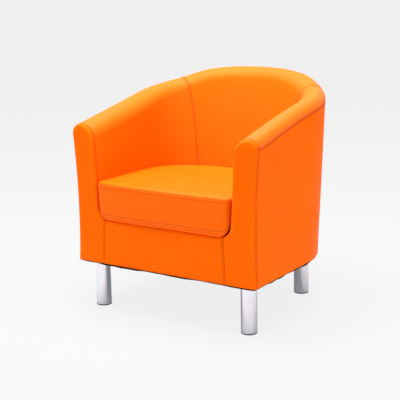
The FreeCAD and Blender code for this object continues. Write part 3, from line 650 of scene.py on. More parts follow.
def stitches(rows, sizes):
    """Short threads along each row: rounded rods that dive into the cover at both ends."""
    sides, rings, nearby = 6, 5, 0.001
    around = np.arange(sides) / sides * 2 * math.pi
    share = np.linspace(-1, 1, rings)
    width = np.sqrt(np.maximum(1 - (share * 0.97) ** 4, 0.03)) * sizes.thread / 2
    rise = (0.55 - 0.9 * share ** 2) * sizes.thread / 2
    all_points, all_faces, total = [], [], 0
    for points, facing in rows:
        along = lengths(points, 0)
        count = int(along[-1] / sizes.stitch_pitch)
        at = (np.arange(count) + 0.5) * along[-1] / count
        centre, up = between(at, along, points), between(at, along, facing)
        tangent = between(at + nearby, along, points) - between(at - nearby, along, points)
        tangent /= np.linalg.norm(tangent, axis=1, keepdims=True)
        across = np.cross(up, tangent)
        across /= np.linalg.norm(across, axis=1, keepdims=True)
        up = np.cross(tangent, across)
        local_x = share[:, None] * sizes.stitch_length / 2 + 0 * around
        local_y = width[:, None] * np.cos(around)
        local_z = width[:, None] * np.sin(around) + rise[:, None]
        rods = (
            centre[:, None, None]
            + local_x[None, ..., None] * tangent[:, None, None]
            + local_y[None, ..., None] * across[:, None, None]
            + local_z[None, ..., None] * up[:, None, None]
        )
        tube = grid_faces(rings, sides, 0, True)
        ends = np.array([[0, 1, 2, 3], [0, 3, 4, 5]])
        rod_faces = np.concatenate([tube, ends, ends[:, ::-1] + (rings - 1) * sides])
        block = rings * sides
        faces = rod_faces[None] + (np.arange(count) * block)[:, None, None] + total
        all_points.append(rods.reshape(-1, 3))
        all_faces.append(faces.reshape(-1, 4))
        total += count * block
    return np.concatenate(all_points), np.concatenate(all_faces)


# Width of the gap between two covers that meet at a seam
SEAM_GAP = 0.0002

# Drift of the cross seams on the inside, and the depth over which it grows
DRIFT = 0.032
DRIFT_REACH = 0.07

# Foot of the inside panels, just above the seat frame, and their straight part's rough length
PANEL_FOOT = 0.2915
PANEL_STRAIGHT = 0.36


# Operators


class ChairOperator(bpy.types.Operator):
    """Builds its pieces with the scene's settings"""

    bl_options = {"REGISTER", "UNDO"}

    def execute(self, context):
        self.build(context.scene.tub_chair_sizes, context.scene.tub_chair_finish)
        return {"FINISHED"}


def wall_panel(name, start, end, replaced, leather, sizes, seed):
    """An inside panel of the wall, from the outer rim seam over the roll and down to the deck.

    The cross seams run straight up the outside of the roll and drift towards the middle of the
    back on the inside, by a distance that grows as 1 - exp(-depth below the crest / reach).
    """
    first = NEAR_SEAM / ROLL_OUTER
    angles = np.concatenate([first, np.linspace(first[-1], math.pi / 2, 9)[1:]])
    on_roll, on_line = np.linspace(0, 1, 13)[1:], np.linspace(0, 1, 44)[1:]
    on_slope = ROLL_INNER + on_line * PANEL_STRAIGHT
    depth = np.concatenate([0 * angles, on_roll * ROLL_INNER, on_slope])
    drift = DRIFT * (1 - np.exp(-depth / DRIFT_REACH))
    path = start + spread(end - start, 0.008)
    path[0] += SEAM_GAP
    path[-1] -= SEAM_GAP
    share = ((path - start) / (end - start))[:, None]
    start_turn = 0.0 if start == 0 else math.copysign(1, MIDDLE - start)
    end_turn = 0.0 if end == 2 * MIDDLE else math.copysign(1, MIDDLE - end)
    path = path[:, None] + drift * (start_turn * (1 - share) + end_turn * share)
    crest, foot = len(angles), len(angles) + len(on_roll)
    sections = (
        Wall(path[:, :crest]).outer_roll(angles[None]),
        Wall(path[:, crest:foot]).inner_roll(on_roll[None]),
        Wall(path[:, foot:]).inner_line(on_line[None], PANEL_FOOT),
    )
    u, z = (np.concatenate(part, axis=1) for part in zip(*sections))
    wall = Wall(path)
    base = wall.place(u, z)
    upward = np.linspace(-1, 1, u.shape[1])[None, :, None]
    inward = np.stack([wall.across + 0 * u, wall.along + 0 * u, 0 * u], axis=-1)
    rough = inward * upward + np.array([0, 0, 1.0]) * (1.2 - np.abs(upward))
    facing = normals(base, rough)
    run, drop = lengths(base, 0), lengths(base, 1)
    from_start, from_end = run, run[-1:] - run
    puff = sizes.puff * (1 - np.exp(-drop / 0.03))
    for distance in (from_start, from_end):
        puff = puff * (1 - 0.5 * np.exp(-distance / 0.03))
    at_start, at_end = 1 - 0.5 * abs(start_turn), 1 - 0.5 * abs(end_turn)
    dip = at_start * tuck(from_start, sizes) + at_end * tuck(from_end, sizes)
    dip = 0.7 * dip + tuck(drop, sizes)
    pucker = 0.0003 * ripple(base, 0.022, seed) * (
        np.exp(-from_start / 0.02) + np.exp(-from_end / 0.02) + np.exp(-drop / 0.014)
    )
    swell = 0.0012 * ripple(base, 0.24, seed + 1)
    offset = puff - dip + pucker + swell * np.clip(drop / 0.05, 0, 1)
    outer = base + facing * offset[..., None]
    inner = base - facing * FOAM
    points, faces = closed_slab(outer, inner)
    # Painted shade in the seams and along their stitches, lighter at the cross seams
    shade = np.maximum(seam_shade(drop, sizes, True), at_start * seam_shade(from_start, sizes, True))
    shade = np.maximum(shade, at_end * seam_shade(from_end, sizes, True))
    rub = np.exp(-((drop - drop[:, [crest - 1]]) / 0.035) ** 2)
    values = {
        "seam": np.concatenate([shade.ravel(), np.ones(shade.size)]),
        "rub": np.concatenate([rub.ravel(), np.zeros(rub.size)]),
    }
    piece = make_piece(name, points, faces, leather, TUB, values)
    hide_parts(*replaced)
    at = int(np.argmin(np.abs(NEAR_SEAM - sizes.topstitch)))
    stitch_row(outer[at:-at, at], facing[at:-at, at], "rim")
    stitch_row(outer[at, at:-2], facing[at, at:-2], "rim")
    stitch_row(outer[-1 - at, at:-2], facing[-1 - at, at:-2], "rim")


class OBJECT_OT_tub_inside(ChairOperator):
    """Builds the two inside arm panels and the inside back panel"""

    bl_idname = "object.tub_inside"
    bl_label = "Inside panels"

    def build(self, sizes, colours):
        leather = leathercloth("leathercloth_inside", colours, 0.19)
        wall_panel(
            "inside_arm_right", 0.0, CROSS_SEAM,
            ("inside_arm_cover_right", "arm_foam_right"), leather, sizes, 3,
        )
        wall_panel(
            "inside_back", CROSS_SEAM, 2 * MIDDLE - CROSS_SEAM,
            ("inside_back_cover", "back_foam"), leather, sizes, 5,
        )
        wall_panel(
            "inside_arm_left", 2 * MIDDLE - CROSS_SEAM, 2 * MIDDLE,
            ("inside_arm_cover_left", "arm_foam_left"), leather, sizes, 9,
        )


class OBJECT_OT_tub_outside(ChairOperator):
    """Builds the outside cover, from its turned-under hem up to the rim seam"""

    bl_idname = "object.tub_outside"
    bl_label = "Outside cover"

    def build(self, sizes, colours):
        path = spread(2 * MIDDLE, 0.009)
        path[0] += SEAM_GAP
        path[-1] -= SEAM_GAP
        wall = Wall(path[:, None])
        column = np.ones((len(path), 1))
        edge, turned_under, thickness = 0.003, 0.020, 0.0012
        under = np.linspace(turned_under, edge, 5)[None] * column
        quarter = np.linspace(0, math.pi / 2, 6)[1:]
        round_u = edge - edge * np.sin(quarter)[None] * column
        round_z = HEM + edge - edge * np.cos(quarter)[None] * column
        top = wall.shoulder - 0.0003
        near = NEAR_SEAM[::-1]
        rise = np.linspace(0, 1, 50)[1:-1]
        foot = HEM + edge
        low_z = foot + (top - near[0] - foot) * rise[None]
        z = np.concatenate([low_z, top - near[None]], axis=1)
        side_u, side_z = wall.outside(z)
        u = np.concatenate([under, round_u, side_u], axis=1)
        z = np.concatenate([np.full_like(under, HEM), round_z, side_z], axis=1)
        base = wall.place(u, z)
        outwards = np.stack([-wall.across + 0 * u, -wall.along + 0 * u, 0 * u], axis=-1)
        down = np.array([0, 0, -1.0]) * (np.arange(u.shape[1]) < under.shape[1])[None, :, None]
        facing = normals(base, outwards + 2 * down)
        run = lengths(base, 0)
        from_start, from_end = run, run[-1:] - run
        from_top = top - z
        from_rim_seam = np.where(z > DECK, from_top, 1.0)
        dip = tuck(from_start, sizes) + tuck(from_end, sizes) + tuck(from_rim_seam, sizes)
        swell = 0.0015 * ripple(base, 0.30, 21) * np.clip(from_top / 0.08, 0, 1)
        swell *= np.clip((z - HEM) / 0.02, 0, 1)
        pucker = 0.0003 * ripple(base, 0.022, 22) * (
            np.exp(-from_start / 0.02) + np.exp(-from_end / 0.02) + np.exp(-from_top / 0.014)
        )
        outer = base + facing * (swell + pucker - dip)[..., None]
        fold = under.shape[1]
        hem_line = base[:, fold:fold + 1]
        hang = sizes.hem_wave * ripple(hem_line, 0.11, 23) * np.exp(-(z - HEM) / 0.012)
        outer[..., 2] -= np.abs(hang) * 0.6
        inner = outer - facing * thickness
        points, faces = closed_slab(outer, inner)
        # Painted shade in the cross seams at the back and in the rim seam
        shade = np.maximum(seam_shade(from_start, sizes, False), seam_shade(from_end, sizes, False))
        shade = np.maximum(shade, seam_shade(from_rim_seam, sizes, False))
        rub = np.exp(-(z - HEM) / 0.02) * 0.5
        values = {
            "seam": np.concatenate([shade.ravel(), shade.ravel()]),
            "rub": np.concatenate([rub.ravel(), rub.ravel()]),
        }
        leather = leathercloth("leathercloth_outside", colours, 0.02)
        piece = make_piece("outside", points, faces, leather, TUB, values)
        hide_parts("outside_cover")
        at = int(np.argmin(np.abs(NEAR_SEAM - sizes.topstitch)))
        up, above_hem = -1 - at, 12
        stitch_row(outer[at:-at, up], facing[at:-at, up], "rim")
        for end in (at, up):
            stitch_row(outer[end, above_hem:up], facing[end, above_hem:up], "rim")


def arc_points(centre, radius, angle):
    """Points of an arc at its angles."""
    return np.stack([centre[0] + radius * np.cos(angle), centre[1] + radius * np.sin(angle)], -1)


def border_seam(z):
    """Distance of the border's seams from the middle at a height: a slanting line."""
    slant = (BORDER_SEAM_BOTTOM - BORDER_SEAM_TOP) / (DECK - HEM)
    return BORDER_SEAM_TOP + slant * (DECK - z)


def opening_centre(wall):
    """Centre of the opening's lower corner arc, which is tangent to the inside line."""
    z = DECK + OPENING_RADIUS
    u, _ = wall.inner_line(np.array([[1.0]]), z)
    return OUTSIDE.half_width - u[0, 0] - OPENING_RADIUS / math.cos(wall.lean[0, 0]), z


def joined(parts):
    """One row of points from pieces of outline, and how round the edge is at each point."""
    points = np.concatenate([part for part, _ in parts])
    return points, np.concatenate([np.full(len(part), value) for part, value in parts])


def front_outline():
    """Outline of the right arm's front in x and z, and how round its edge is at each point.

    It runs along the hem, up the outside, over the two arcs of the rim, down the inside line,
    round the opening's corner arc to the border seam and down that seam.
    """
    wall = Wall(np.zeros((1, 1)))
    centre, lean = opening_centre(wall), wall.lean[0, 0]

    def seen(u, z):
        return np.stack([OUTSIDE.half_width - u[0], z[0]], -1)

    side = seen(*wall.outside(np.linspace(HEM, wall.shoulder[0, 0], 110)[None]))
    hem_x = np.linspace(BORDER_SEAM_BOTTOM, side[0, 0], 24)[:-1]
    line = seen(*wall.inner_line(np.linspace(0, 1, 60)[None, 1:], centre[1]))
    arc = arc_points(centre, OPENING_RADIUS, np.linspace(-lean, -math.pi / 2, 40))
    arc = arc[arc[:, 0] > border_seam(arc[:, 1])]
    low_z = np.linspace(arc[-1, 1], HEM, 40)[1:-1]
    return joined(
        [
            (np.stack([hem_x, np.full_like(hem_x, HEM)], -1), 0.0),
            (side, 1.0),
            (seen(*wall.outer_roll(np.linspace(0, math.pi / 2, 16)[None, 1:])), 1.0),
            (seen(*wall.inner_roll(np.linspace(0, 1, 22)[None, 1:])), 1.0),
            (line[:-1], 1.0),
            (arc, 1.0),
            (np.stack([border_seam(low_z), low_z], -1), 0.0),
        ]
    )


def border_outline():
    """Outline of the border under the cushion: the hem, two seams, and its top edge that
    rises along the opening's corner arcs at both ends."""
    points, rounded = front_outline()
    seam_top = int(np.flatnonzero(rounded > 0.5)[-1])
    top_x, top_z = points[seam_top]
    seam_z = np.linspace(HEM, top_z, 40)
    seam = np.stack([border_seam(seam_z), seam_z], -1)
    centre = opening_centre(Wall(np.zeros((1, 1))))
    last = math.atan2(top_z - centre[1], top_x - centre[0])
    arc = arc_points(centre, OPENING_RADIUS, np.linspace(last, -math.pi / 2, 10)[1:])
    flat_x = np.linspace(arc[-1, 0], -arc[-1, 0], 90)[1:-1]
    flat = np.stack([flat_x, np.full_like(flat_x, DECK)], -1)
    hem_x = np.linspace(-BORDER_SEAM_BOTTOM, BORDER_SEAM_BOTTOM, 96)[1:-1]
    hem = np.stack([hem_x, np.full_like(hem_x, HEM)], -1)
    flip = np.array([-1.0, 1.0])
    return joined(
        [
            (seam, 0.0), (arc, 1.0), (flat, 1.0), (arc[::-1] * flip, 1.0),
            (seam[::-1] * flip, 0.0), (hem, 0.0),
        ]
    )


def front_panel(name, outline, rounded, spine, replaced, leather, sizes, seed):
    """A padded panel of the front, as rings that shrink from its outline to a spine.

    Each point's ring position is its distance d from the outline. The face lies at the front and
    falls back along a quarter ellipse near the edge, deep on the free edges, shallow at seams.
    """
    blur = 12
    weight = np.exp(-(np.arange(-blur, blur + 1) / 3.0) ** 2)
    weight /= weight.sum()
    wrapped = np.concatenate([rounded[-blur:], rounded, rounded[:blur]])
    free = np.convolve(wrapped, weight, mode="valid")
    low, high = np.array(spine)
    axis = int(np.argmax(np.abs(high - low)))
    share = np.clip((outline[:, axis] - low[axis]) / (high[axis] - low[axis]), 0, 1)
    centre = low + share[:, None] * (high - low)
    reach = np.linalg.norm(centre - outline, axis=1)[:, None]
    curve = CAP_EDGE * (1 - np.cos(np.linspace(0, math.pi / 2, 10)))
    near_edge = np.concatenate([curve, [0.0155, 0.02]])
    last = near_edge[-1]
    fraction = np.linspace(0, 1, 12)[None, 1:]
    distance = np.concatenate([near_edge[None] + 0 * reach, last + (reach - last) * fraction], axis=1)
    radius = sizes.seam_reach + (CAP_EDGE - sizes.seam_reach) * free[:, None]
    depth = sizes.seam_depth + (CAP_EDGE - sizes.seam_depth) * free[:, None]
    near = np.clip(distance / radius, 0, 1)
    fall = depth * (1 - np.sqrt(np.maximum(1 - (1 - near) ** 2, 0)))
    inwards = distance / reach
    flat = outline[:, None] * (1 - inwards[..., None]) + centre[:, None] * inwards[..., None]
    face = np.stack([flat[..., 0], FRONT + fall, flat[..., 1]], -1)
    soft = 1 - np.exp(-distance / 0.025)
    face[..., 1] -= 0.0022 * soft + 0.0012 * ripple(face, 0.16, seed) * soft
    face[..., 1] -= 0.0003 * ripple(face, 0.02, seed + 1) * np.exp(-distance / 0.02)
    back = np.stack([outline[:, 0], np.full(len(outline), FRAME_FRONT - 0.0003), outline[:, 1]], -1)
    back_centre = np.stack([centre[:, 0], back[:, 1], centre[:, 1]], -1)
    rings = np.concatenate([back_centre[:, None], back[:, None], face], axis=1)
    rings = rings.transpose(1, 0, 2)
    count, around = rings.shape[:2]
    faces = grid_faces(count, around, 0, True)
    stitched = (1 - free)[:, None] if name == "border" else 0.0
    # Painted shade in the seam round the outline, and along the border's stitches
    shade = 0.85 * np.exp(-(distance / 0.0011) ** 2)
    shade = np.maximum(shade, stitched * 0.45 * np.exp(-((distance - 0.0045) / 0.0012) ** 2))
    shade = np.concatenate([np.ones((len(outline), 2)), shade], axis=1).T
    rub = np.exp(-((distance - 0.006) / 0.008) ** 2) * free[:, None]
    rub = np.concatenate([np.zeros((len(outline), 2)), rub], axis=1).T
    values = {"seam": shade.ravel(), "rub": rub.ravel()}
    piece = make_piece(
        name, rings.reshape(-1, 3), faces, leather, TUB, values
    )
    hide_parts(*replaced)


class OBJECT_OT_tub_fronts(ChairOperator):
    """Builds the two arm fronts and the border between them"""

    bl_idname = "object.tub_fronts"
    bl_label = "Arm fronts and border"

    def build(self, sizes, colours):
        leather = leathercloth("leathercloth_front", colours, 0.03)
        outline, rounded = front_outline()
        low_end, high_end = (0.2825, 0.205), (0.2885, RIM[0] - 0.052)
        for side, side_name in ((1, "right"), (-1, "left")):
            flip = np.array([side, 1.0])
            front_panel(
                f"arm_front_{side_name}", outline * flip, rounded,
                [(side * x, z) for x, z in (low_end, high_end)],
                (f"arm_front_cover_{side_name}", f"arm_front_pad_{side_name}"),
                leather, sizes, 31 + side,
            )
        outline, rounded = border_outline()
        middle = (HEM + DECK) / 2
        front_panel(
            "border", outline, rounded, ((-0.155, middle), (0.155, middle)),
            ("front_border_cover", "border_pad"), leather, sizes, 41,
        )
        forward = np.array([0.0, -1.0, 0.0])
        z = np.linspace(HEM + 0.006, DECK - 0.004, 30)
        x, y = border_seam(z) - 0.0052, np.full_like(z, FRONT - 0.0004)
        for side in (1, -1):
            stitch_row(np.stack([side * x, y, z], -1), forward + 0 * z[:, None], "rim")


def plan_ring(outline, front, bow, corner, count):
    """Points round a cushion's plan, evenly spaced: a bowed front, two front corner arcs,
    straight sides and the back's three arcs."""
    half, quarter = outline.half_width - corner, math.pi / 2
    x = np.linspace(0, half, 60)
    side_y = np.linspace(front + corner, outline.side_end, 60)[1:]
    front_arc = np.linspace(-quarter, 0, 24)[1:]
    corner_arc = np.linspace(0, outline.joint, 50)[1:]
    back_arc = np.linspace(outline.joint, quarter, 40)[1:]
    right = np.concatenate(
        [
            np.column_stack([x, front - bow * (1 - (x / half) ** 2)]),
            arc_points((half, front + corner), corner, front_arc),
            np.column_stack([np.full_like(side_y, outline.half_width), side_y]),
            arc_points((outline.corner_x, outline.side_end), outline.corner, corner_arc),
            arc_points((0.0, outline.back_y), outline.back_radius, back_arc),
        ]
    )
    loop = np.concatenate([right, right[-2:0:-1] * np.array([-1.0, 1.0]), right[:1]])
    along = lengths(loop, 0)
    return between(np.arange(count) / count * along[-1], along, loop)


def inflate(piece, held, pressure, cap):
    """Blows a closed mesh up with cloth simulation, its held points kept in place.

    The result is how far each point moves, at most the cap.
    """
    scene, frames = bpy.context.scene, 20
    group = piece.vertex_groups.new(name="held")
    group.add(np.flatnonzero(held).tolist(), 1.0, "REPLACE")
    cloth = piece.modifiers.new("Cloth", "CLOTH")
    settings = cloth.settings
    settings.quality = 6
    settings.mass = 0.25
    settings.tension_stiffness = settings.compression_stiffness = 22
    settings.shear_stiffness = 12
    settings.bending_stiffness = 3
    settings.vertex_group_mass = "held"
    settings.use_pressure = True
    settings.uniform_pressure_force = pressure
    settings.effector_weights.gravity = 0
    cloth.point_cache.frame_start, cloth.point_cache.frame_end = 1, frames
    for step in range(1, frames + 1):
        scene.frame_set(step)
    graph = bpy.context.evaluated_depsgraph_get()
    swollen = piece.evaluated_get(graph).to_mesh()
    count = len(piece.data.vertices)
    moved = np.zeros(count * 3)
    swollen.vertices.foreach_get("co", moved)
    rest = np.zeros(count * 3)
    piece.data.vertices.foreach_get("co", rest)
    piece.evaluated_get(graph).to_mesh_clear()
    piece.modifiers.remove(cloth)
    piece.vertex_groups.remove(group)
    scene.frame_set(1)
    shift = (moved - rest).reshape(-1, 3)
    size = np.linalg.norm(shift, axis=1, keepdims=True)
    return shift * np.minimum(1, cap / np.maximum(size, 1e-9))


class CushionShape:
    """A boxed cushion as rings round its plan, from the middle of its top to that of its base.

    A ring is the plan drawn in towards its centre, at a height. The top is nearly flat and turns
    down over a quarter round to the upper seam. The boxing goes down to the lower seam. The base
    follows a front view whose two lower corners are round. The sides and the back flare upwards
    with height, and the top falls towards the back.
    """

    COUNT = 300

    def __init__(self, inset, bottom, height, edge, lower_corner, front, corner,
                 bow=0.0, crown=0.0, flare=0.0, fall=0.0):
        self.outline = INSIDE.inset(inset)
        self.flare, self.fall = flare, fall
        self.bottom, self.top = bottom, bottom + height - crown
        self.edge, self.lower_corner = edge, lower_corner
        self.ring = plan_ring(self.outline, front + bow, bow, corner, self.COUNT)
        self.centre = np.array([0.0, (front + self.outline.back) / 2])
        self.radius = np.linalg.norm(self.ring - self.centre, axis=1)

    def low(self, x):
        """Height of the base at a distance to the side: level, then up a quarter round."""
        radius = self.lower_corner
        over = np.clip(np.abs(x) - (self.outline.half_width - radius), 0, radius)
        return self.bottom + radius - np.sqrt(radius ** 2 - over ** 2)

    def drawn_in(self, distance):
        share = 1 - distance / self.radius
        return self.centre + (self.ring - self.centre) * share[:, None]

    def rings(self, base_edge, boxing):
        """The rings' points, and each ring's name and its distance over the surface from a seam."""
        rows, kinds = [], []
        rim = self.top - self.edge
        for share in np.linspace(0, 1, 26)[:-1]:
            start = 1 - self.edge / self.radius
            flat = self.centre + (self.ring - self.centre) * (start * share)[:, None]
            rows.append(np.column_stack([flat, np.full(self.COUNT, self.top)]))
            kinds.append(("top", share))
        for turn in np.linspace(0, math.pi / 2, 10):
            flat = self.drawn_in(self.edge * (1 - math.sin(turn)))
            height = np.full(self.COUNT, rim + self.edge * math.cos(turn))
            rows.append(np.column_stack([flat, height]))
            kinds.append(("edge", turn))
        low = self.low(self.ring[:, 0])
        foot = low + base_edge
        for share in boxing:
            rows.append(np.column_stack([self.ring, rim + (foot - rim) * share]))
            kinds.append(("boxing", share))
        for turn in np.linspace(0, math.pi / 2, 8)[1:]:
            flat = self.drawn_in(base_edge * (1 - math.cos(turn)))
            sunk = base_edge * (1 - math.sin(turn))
            rows.append(np.column_stack([flat, low + sunk]))
            kinds.append(("base_edge", turn))
        for share in np.linspace(1, 0, 16)[1:]:
            start = 1 - base_edge / self.radius
            flat = self.centre + (self.ring - self.centre) * (start * share)[:, None]
            rows.append(np.column_stack([flat, self.low(flat[:, 0])]))
            kinds.append(("base", share))
        rows = np.array(rows)
        share = (rows[..., 2] - self.bottom) / (self.top - self.bottom)
        side = rows[..., 0] / self.outline.half_width
        deep = (rows[..., 1] - self.ring[:, 1].min()) / np.ptp(self.ring[:, 1])
        rows[..., 2] -= self.fall * share * np.clip(deep, 0, 1) ** 3
        rows[..., 0] += self.flare * share * side
        rows[..., 1] += self.flare * share * np.clip(rows[..., 1] / self.outline.back, 0, 1)
        return rows, kinds


class OBJECT_OT_tub_cushion(ChairOperator):
    """Builds the boxed seat cushion, swollen by cloth simulation, with its seams"""

    bl_idname = "object.tub_cushion"
    bl_label = "Seat cushion"

    def build(self, sizes, colours):
        leather = leathercloth("leathercloth_cushion", colours, 0.13)
        shape = CushionShape(
            inset=0.0027, bottom=DECK + 0.0006, height=0.132, edge=0.012, lower_corner=0.0265,
            front=-0.3295, corner=0.017, bow=0.0055, crown=sizes.crown, flare=0.0065, fall=0.014,
        )
        rings, kinds = shape.rings(0.013, np.linspace(0, 1, 30)[1:])
        names = np.array([kind for kind, _ in kinds])
        shares = np.array([value for _, value in kinds])
        faces = grid_faces(len(kinds), shape.COUNT, 0, True)
        piece = make_piece(
            "cushion", rings.reshape(-1, 3), faces, leather, CUSHION, weld=False
        )
        swollen = rings + self.swell(piece, rings, names, shares, sizes.crown)
        middle = np.array([*shape.centre, (shape.bottom + shape.top) / 2])
        facing = normals(swollen, swollen - middle, closed=True)
        run = lengths(swollen, 0)
        upper = int(np.flatnonzero(names == "boxing")[0])
        lower = int(np.flatnonzero(names == "base_edge")[0])
        dip, shade = np.zeros((2, *run.shape))
        # The dip dents the cover at both seams, and the shade is painted shade in them
        for row in (upper, lower):
            distance = np.abs(run - run[row])
            dip += 0.0010 * np.exp(-(distance / 0.0022) ** 2)
            shade += 0.7 * np.exp(-(distance / 0.0013) ** 2)
        pucker = 0.0003 * ripple(swollen, 0.03, 52)
        dip += pucker * np.exp(-np.abs(run - run[upper]) / 0.03)
        uneven = 0.0012 * ripple(swollen, 0.2, 53) * (names != "base")[:, None]
        final = swollen + facing * (uneven - dip)[..., None]
        final[..., 2] = np.maximum(final[..., 2], DECK + 0.0004)
        piece.data.vertices.foreach_set("co", final.ravel())
        rub = np.repeat((names == "edge")[:, None] * 0.8, shape.COUNT, axis=1)
        give_values(piece.data, {"seam": np.minimum(shade, 1), "rub": rub})
        merge_doubles(piece.data)
        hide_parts("cushion_cover", "cushion_foam")
        loop = np.append(np.arange(shape.COUNT), 0)
        for row in (upper - 4, lower - 3):
            stitch_row(final[row][loop], facing[row][loop], "cushion")

    def swell(self, piece, rings, names, shares, crown):
        """How far each point moves, from the simulation.

        It is scaled so that the highest lift of the top is the crown, and the boxing bulges by
        1.8 mm at most in the seat and 5.8 mm where the front is free.
        """
        # Both seams and the base are held
        held = (names == "boxing") & ((shares > 0.93) | (shares < 0.04))
        held |= (names == "edge") & (shares > 1.4)
        held |= (names == "base") | (names == "base_edge")
        held = np.repeat(held, rings.shape[1])
        shift = inflate(piece, held, 4.0, 0.03).reshape(rings.shape)
        shift[..., 2] *= np.isin(names, ("top", "edge"))[:, None]
        shift[..., 2] *= crown / max(shift[..., 2].max(), 1e-6)
        shift[..., :2] *= (names == "boxing")[:, None, None]
        bulge = np.linalg.norm(shift[..., :2], axis=-1).max()
        free_front = np.clip((-0.29 - rings[..., 1]) / 0.02, 0, 1)
        allowed = 0.0018 + 0.0040 * free_front
        if bulge > 0:
            shift[..., :2] *= (allowed / bulge)[..., None]
        return shift


class OBJECT_OT_tub_stitching(ChairOperator):
    """Sews the kept rows of stitches along the seams"""

    bl_idname = "object.tub_stitching"
    bl_label = "Stitching"

    def build(self, sizes, colours):
        thread = thread_finish(colours)
        for group, body in (("rim", TUB), ("cushion", CUSHION)):
            rows = [(points, facing) for points, facing, name in STITCH_ROWS if name == group]
            points, faces = stitches(rows, sizes)
            make_piece(
                f"{group}_stitches", points, faces, thread, body, weld=False
            )
        STITCH_ROWS.clear()


class OBJECT_OT_tub_legs(ChairOperator):
    """Gives the legs, glides and hidden frame their finishes"""

    bl_idname = "object.tub_legs"
    bl_label = "Legs and frame"

    def build(self, sizes, colours):
        timber = timber_finish("timber", (0.62, 0.40, 0.20), (0.36, 0.20, 0.08), (4.0, 60.0, 60.0))
        hardboard = timber_finish(
            "hardboard", (0.20, 0.10, 0.045), (0.12, 0.06, 0.03), (400.0, 400.0, 400.0)
        )
        finishes = {
            "chrome": chrome_finish(),
            "black_plastic": moulded_finish(),
            "timber": timber,
            "hardboard": hardboard,
            "webbing": webbing_finish(),
            "zinc_steel": fastener_finish(),
            "felt": cloth_finish("felt", (0.26, 0.25, 0.23), 0.004, 0.5),
            "black_cloth": cloth_finish("black_cloth", (0.010, 0.010, 0.011), 0.0012),
            "leathercloth": leathercloth("leathercloth_plain", colours, 0.10, seamed=False),
            "foam": cloth_finish("foam", (0.80, 0.72, 0.45), 0.003, 0.1),
        }
        for part in frame["record"]["subparts"]:
            node = frame["nodes"][part["node"]]
            node.data.materials.clear()
            node.data.materials.append(finishes[part["material_slot"]])


class OBJECT_OT_tub_cloths(ChairOperator):
    """Builds the seat deck and the dust cover"""

    bl_idname = "object.tub_cloths"
    bl_label = "Deck and dust cover"

    def build(self, sizes, colours):
        self.deck()
        self.dust_cover(sizes)

    def deck(self):
        """A thin padded deck in the seat's outline, its top slightly uneven."""
        # The lining takes the leather's tone darkened to a deep red: painted shade for the gap seen
        # beside the cushion's lower corners
        shaded_lining = cloth_finish("deck_cloth_painted_shade", (0.16, 0.014, 0.0), 0.0012, 0.05)
        shape = CushionShape(
            inset=0.0015, bottom=0.2933, height=0.0107, edge=0.003, lower_corner=0.0005,
            front=FRAME_FRONT + 0.0006, corner=0.002,
        )
        rings, kinds = shape.rings(0.002, np.linspace(0, 1, 4)[1:])
        top = np.array([kind == "top" for kind, _ in kinds])
        rings[..., 2] -= top[:, None] * 0.0008 * (1 + ripple(rings, 0.09, 61))
        faces = grid_faces(len(kinds), shape.COUNT, 0, True)
        deck = make_piece("seat_deck", rings.reshape(-1, 3), faces, shaded_lining, TUB)
        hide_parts("deck_pad", "deck_cover")

    def dust_cover(self, sizes):
        """A sheet under the chair, drawn round the legs, whose edge hangs in waves.

        The drop at a point is the wave, faded by exp(-distance from the edge / 12 mm), and a
        slight sag farther in.
        """
        cloth = cloth_finish("dust_cloth", (0.010, 0.010, 0.011), 0.0012)
        outline = OUTSIDE.inset(0.003)
        ring = plan_ring(outline, FRONT + 0.0015, 0.0, 0.004, 420)
        share = np.concatenate([np.linspace(0, 0.97, 72), [0.98, 0.99, 0.995, 1.0]])
        flat = ring[None] * share[:, None, None]
        sheet = np.concatenate([flat, np.full(flat.shape[:2] + (1,), HEM - 0.0013)], axis=-1)
        near = np.exp(-(1 - share) * 0.3 / 0.012)[:, None]
        wave = ripple(sheet, 0.06, 62) * 0.6 + ripple(sheet, 0.17, 63)
        sheet[..., 2] -= sizes.hem_wave * 2.2 * near * np.clip(wave + 0.5, 0, 2)
        sheet[..., 2] -= 0.002 * (1 - near) * (1 + ripple(sheet, 0.22, 64)) / 2
        points = sheet.reshape(-1, 3)
        faces = grid_faces(len(share), len(ring), 0, True)
        middle = points[faces].mean(axis=1)
        hole = LEG_RADIUS + 0.0008
        for leg in np.array(LEGS):
            keep = np.linalg.norm(middle[:, :2] - leg, axis=1) > hole
            faces, middle = faces[keep], middle[keep]
            away = points[:, :2] - leg
            far = np.linalg.norm(away, axis=1, keepdims=True)
            onto = leg + away / np.maximum(far, 1e-9) * hole
            points[:, :2] = np.where(far < hole, onto, points[:, :2])
        dust = make_piece("dust_cloth", points, faces, cloth, TUB)
        solid = dust.modifiers.new("Thickness", "SOLIDIFY")
        solid.thickness, solid.offset = 0.0006, 0.0
        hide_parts("dust_cover")


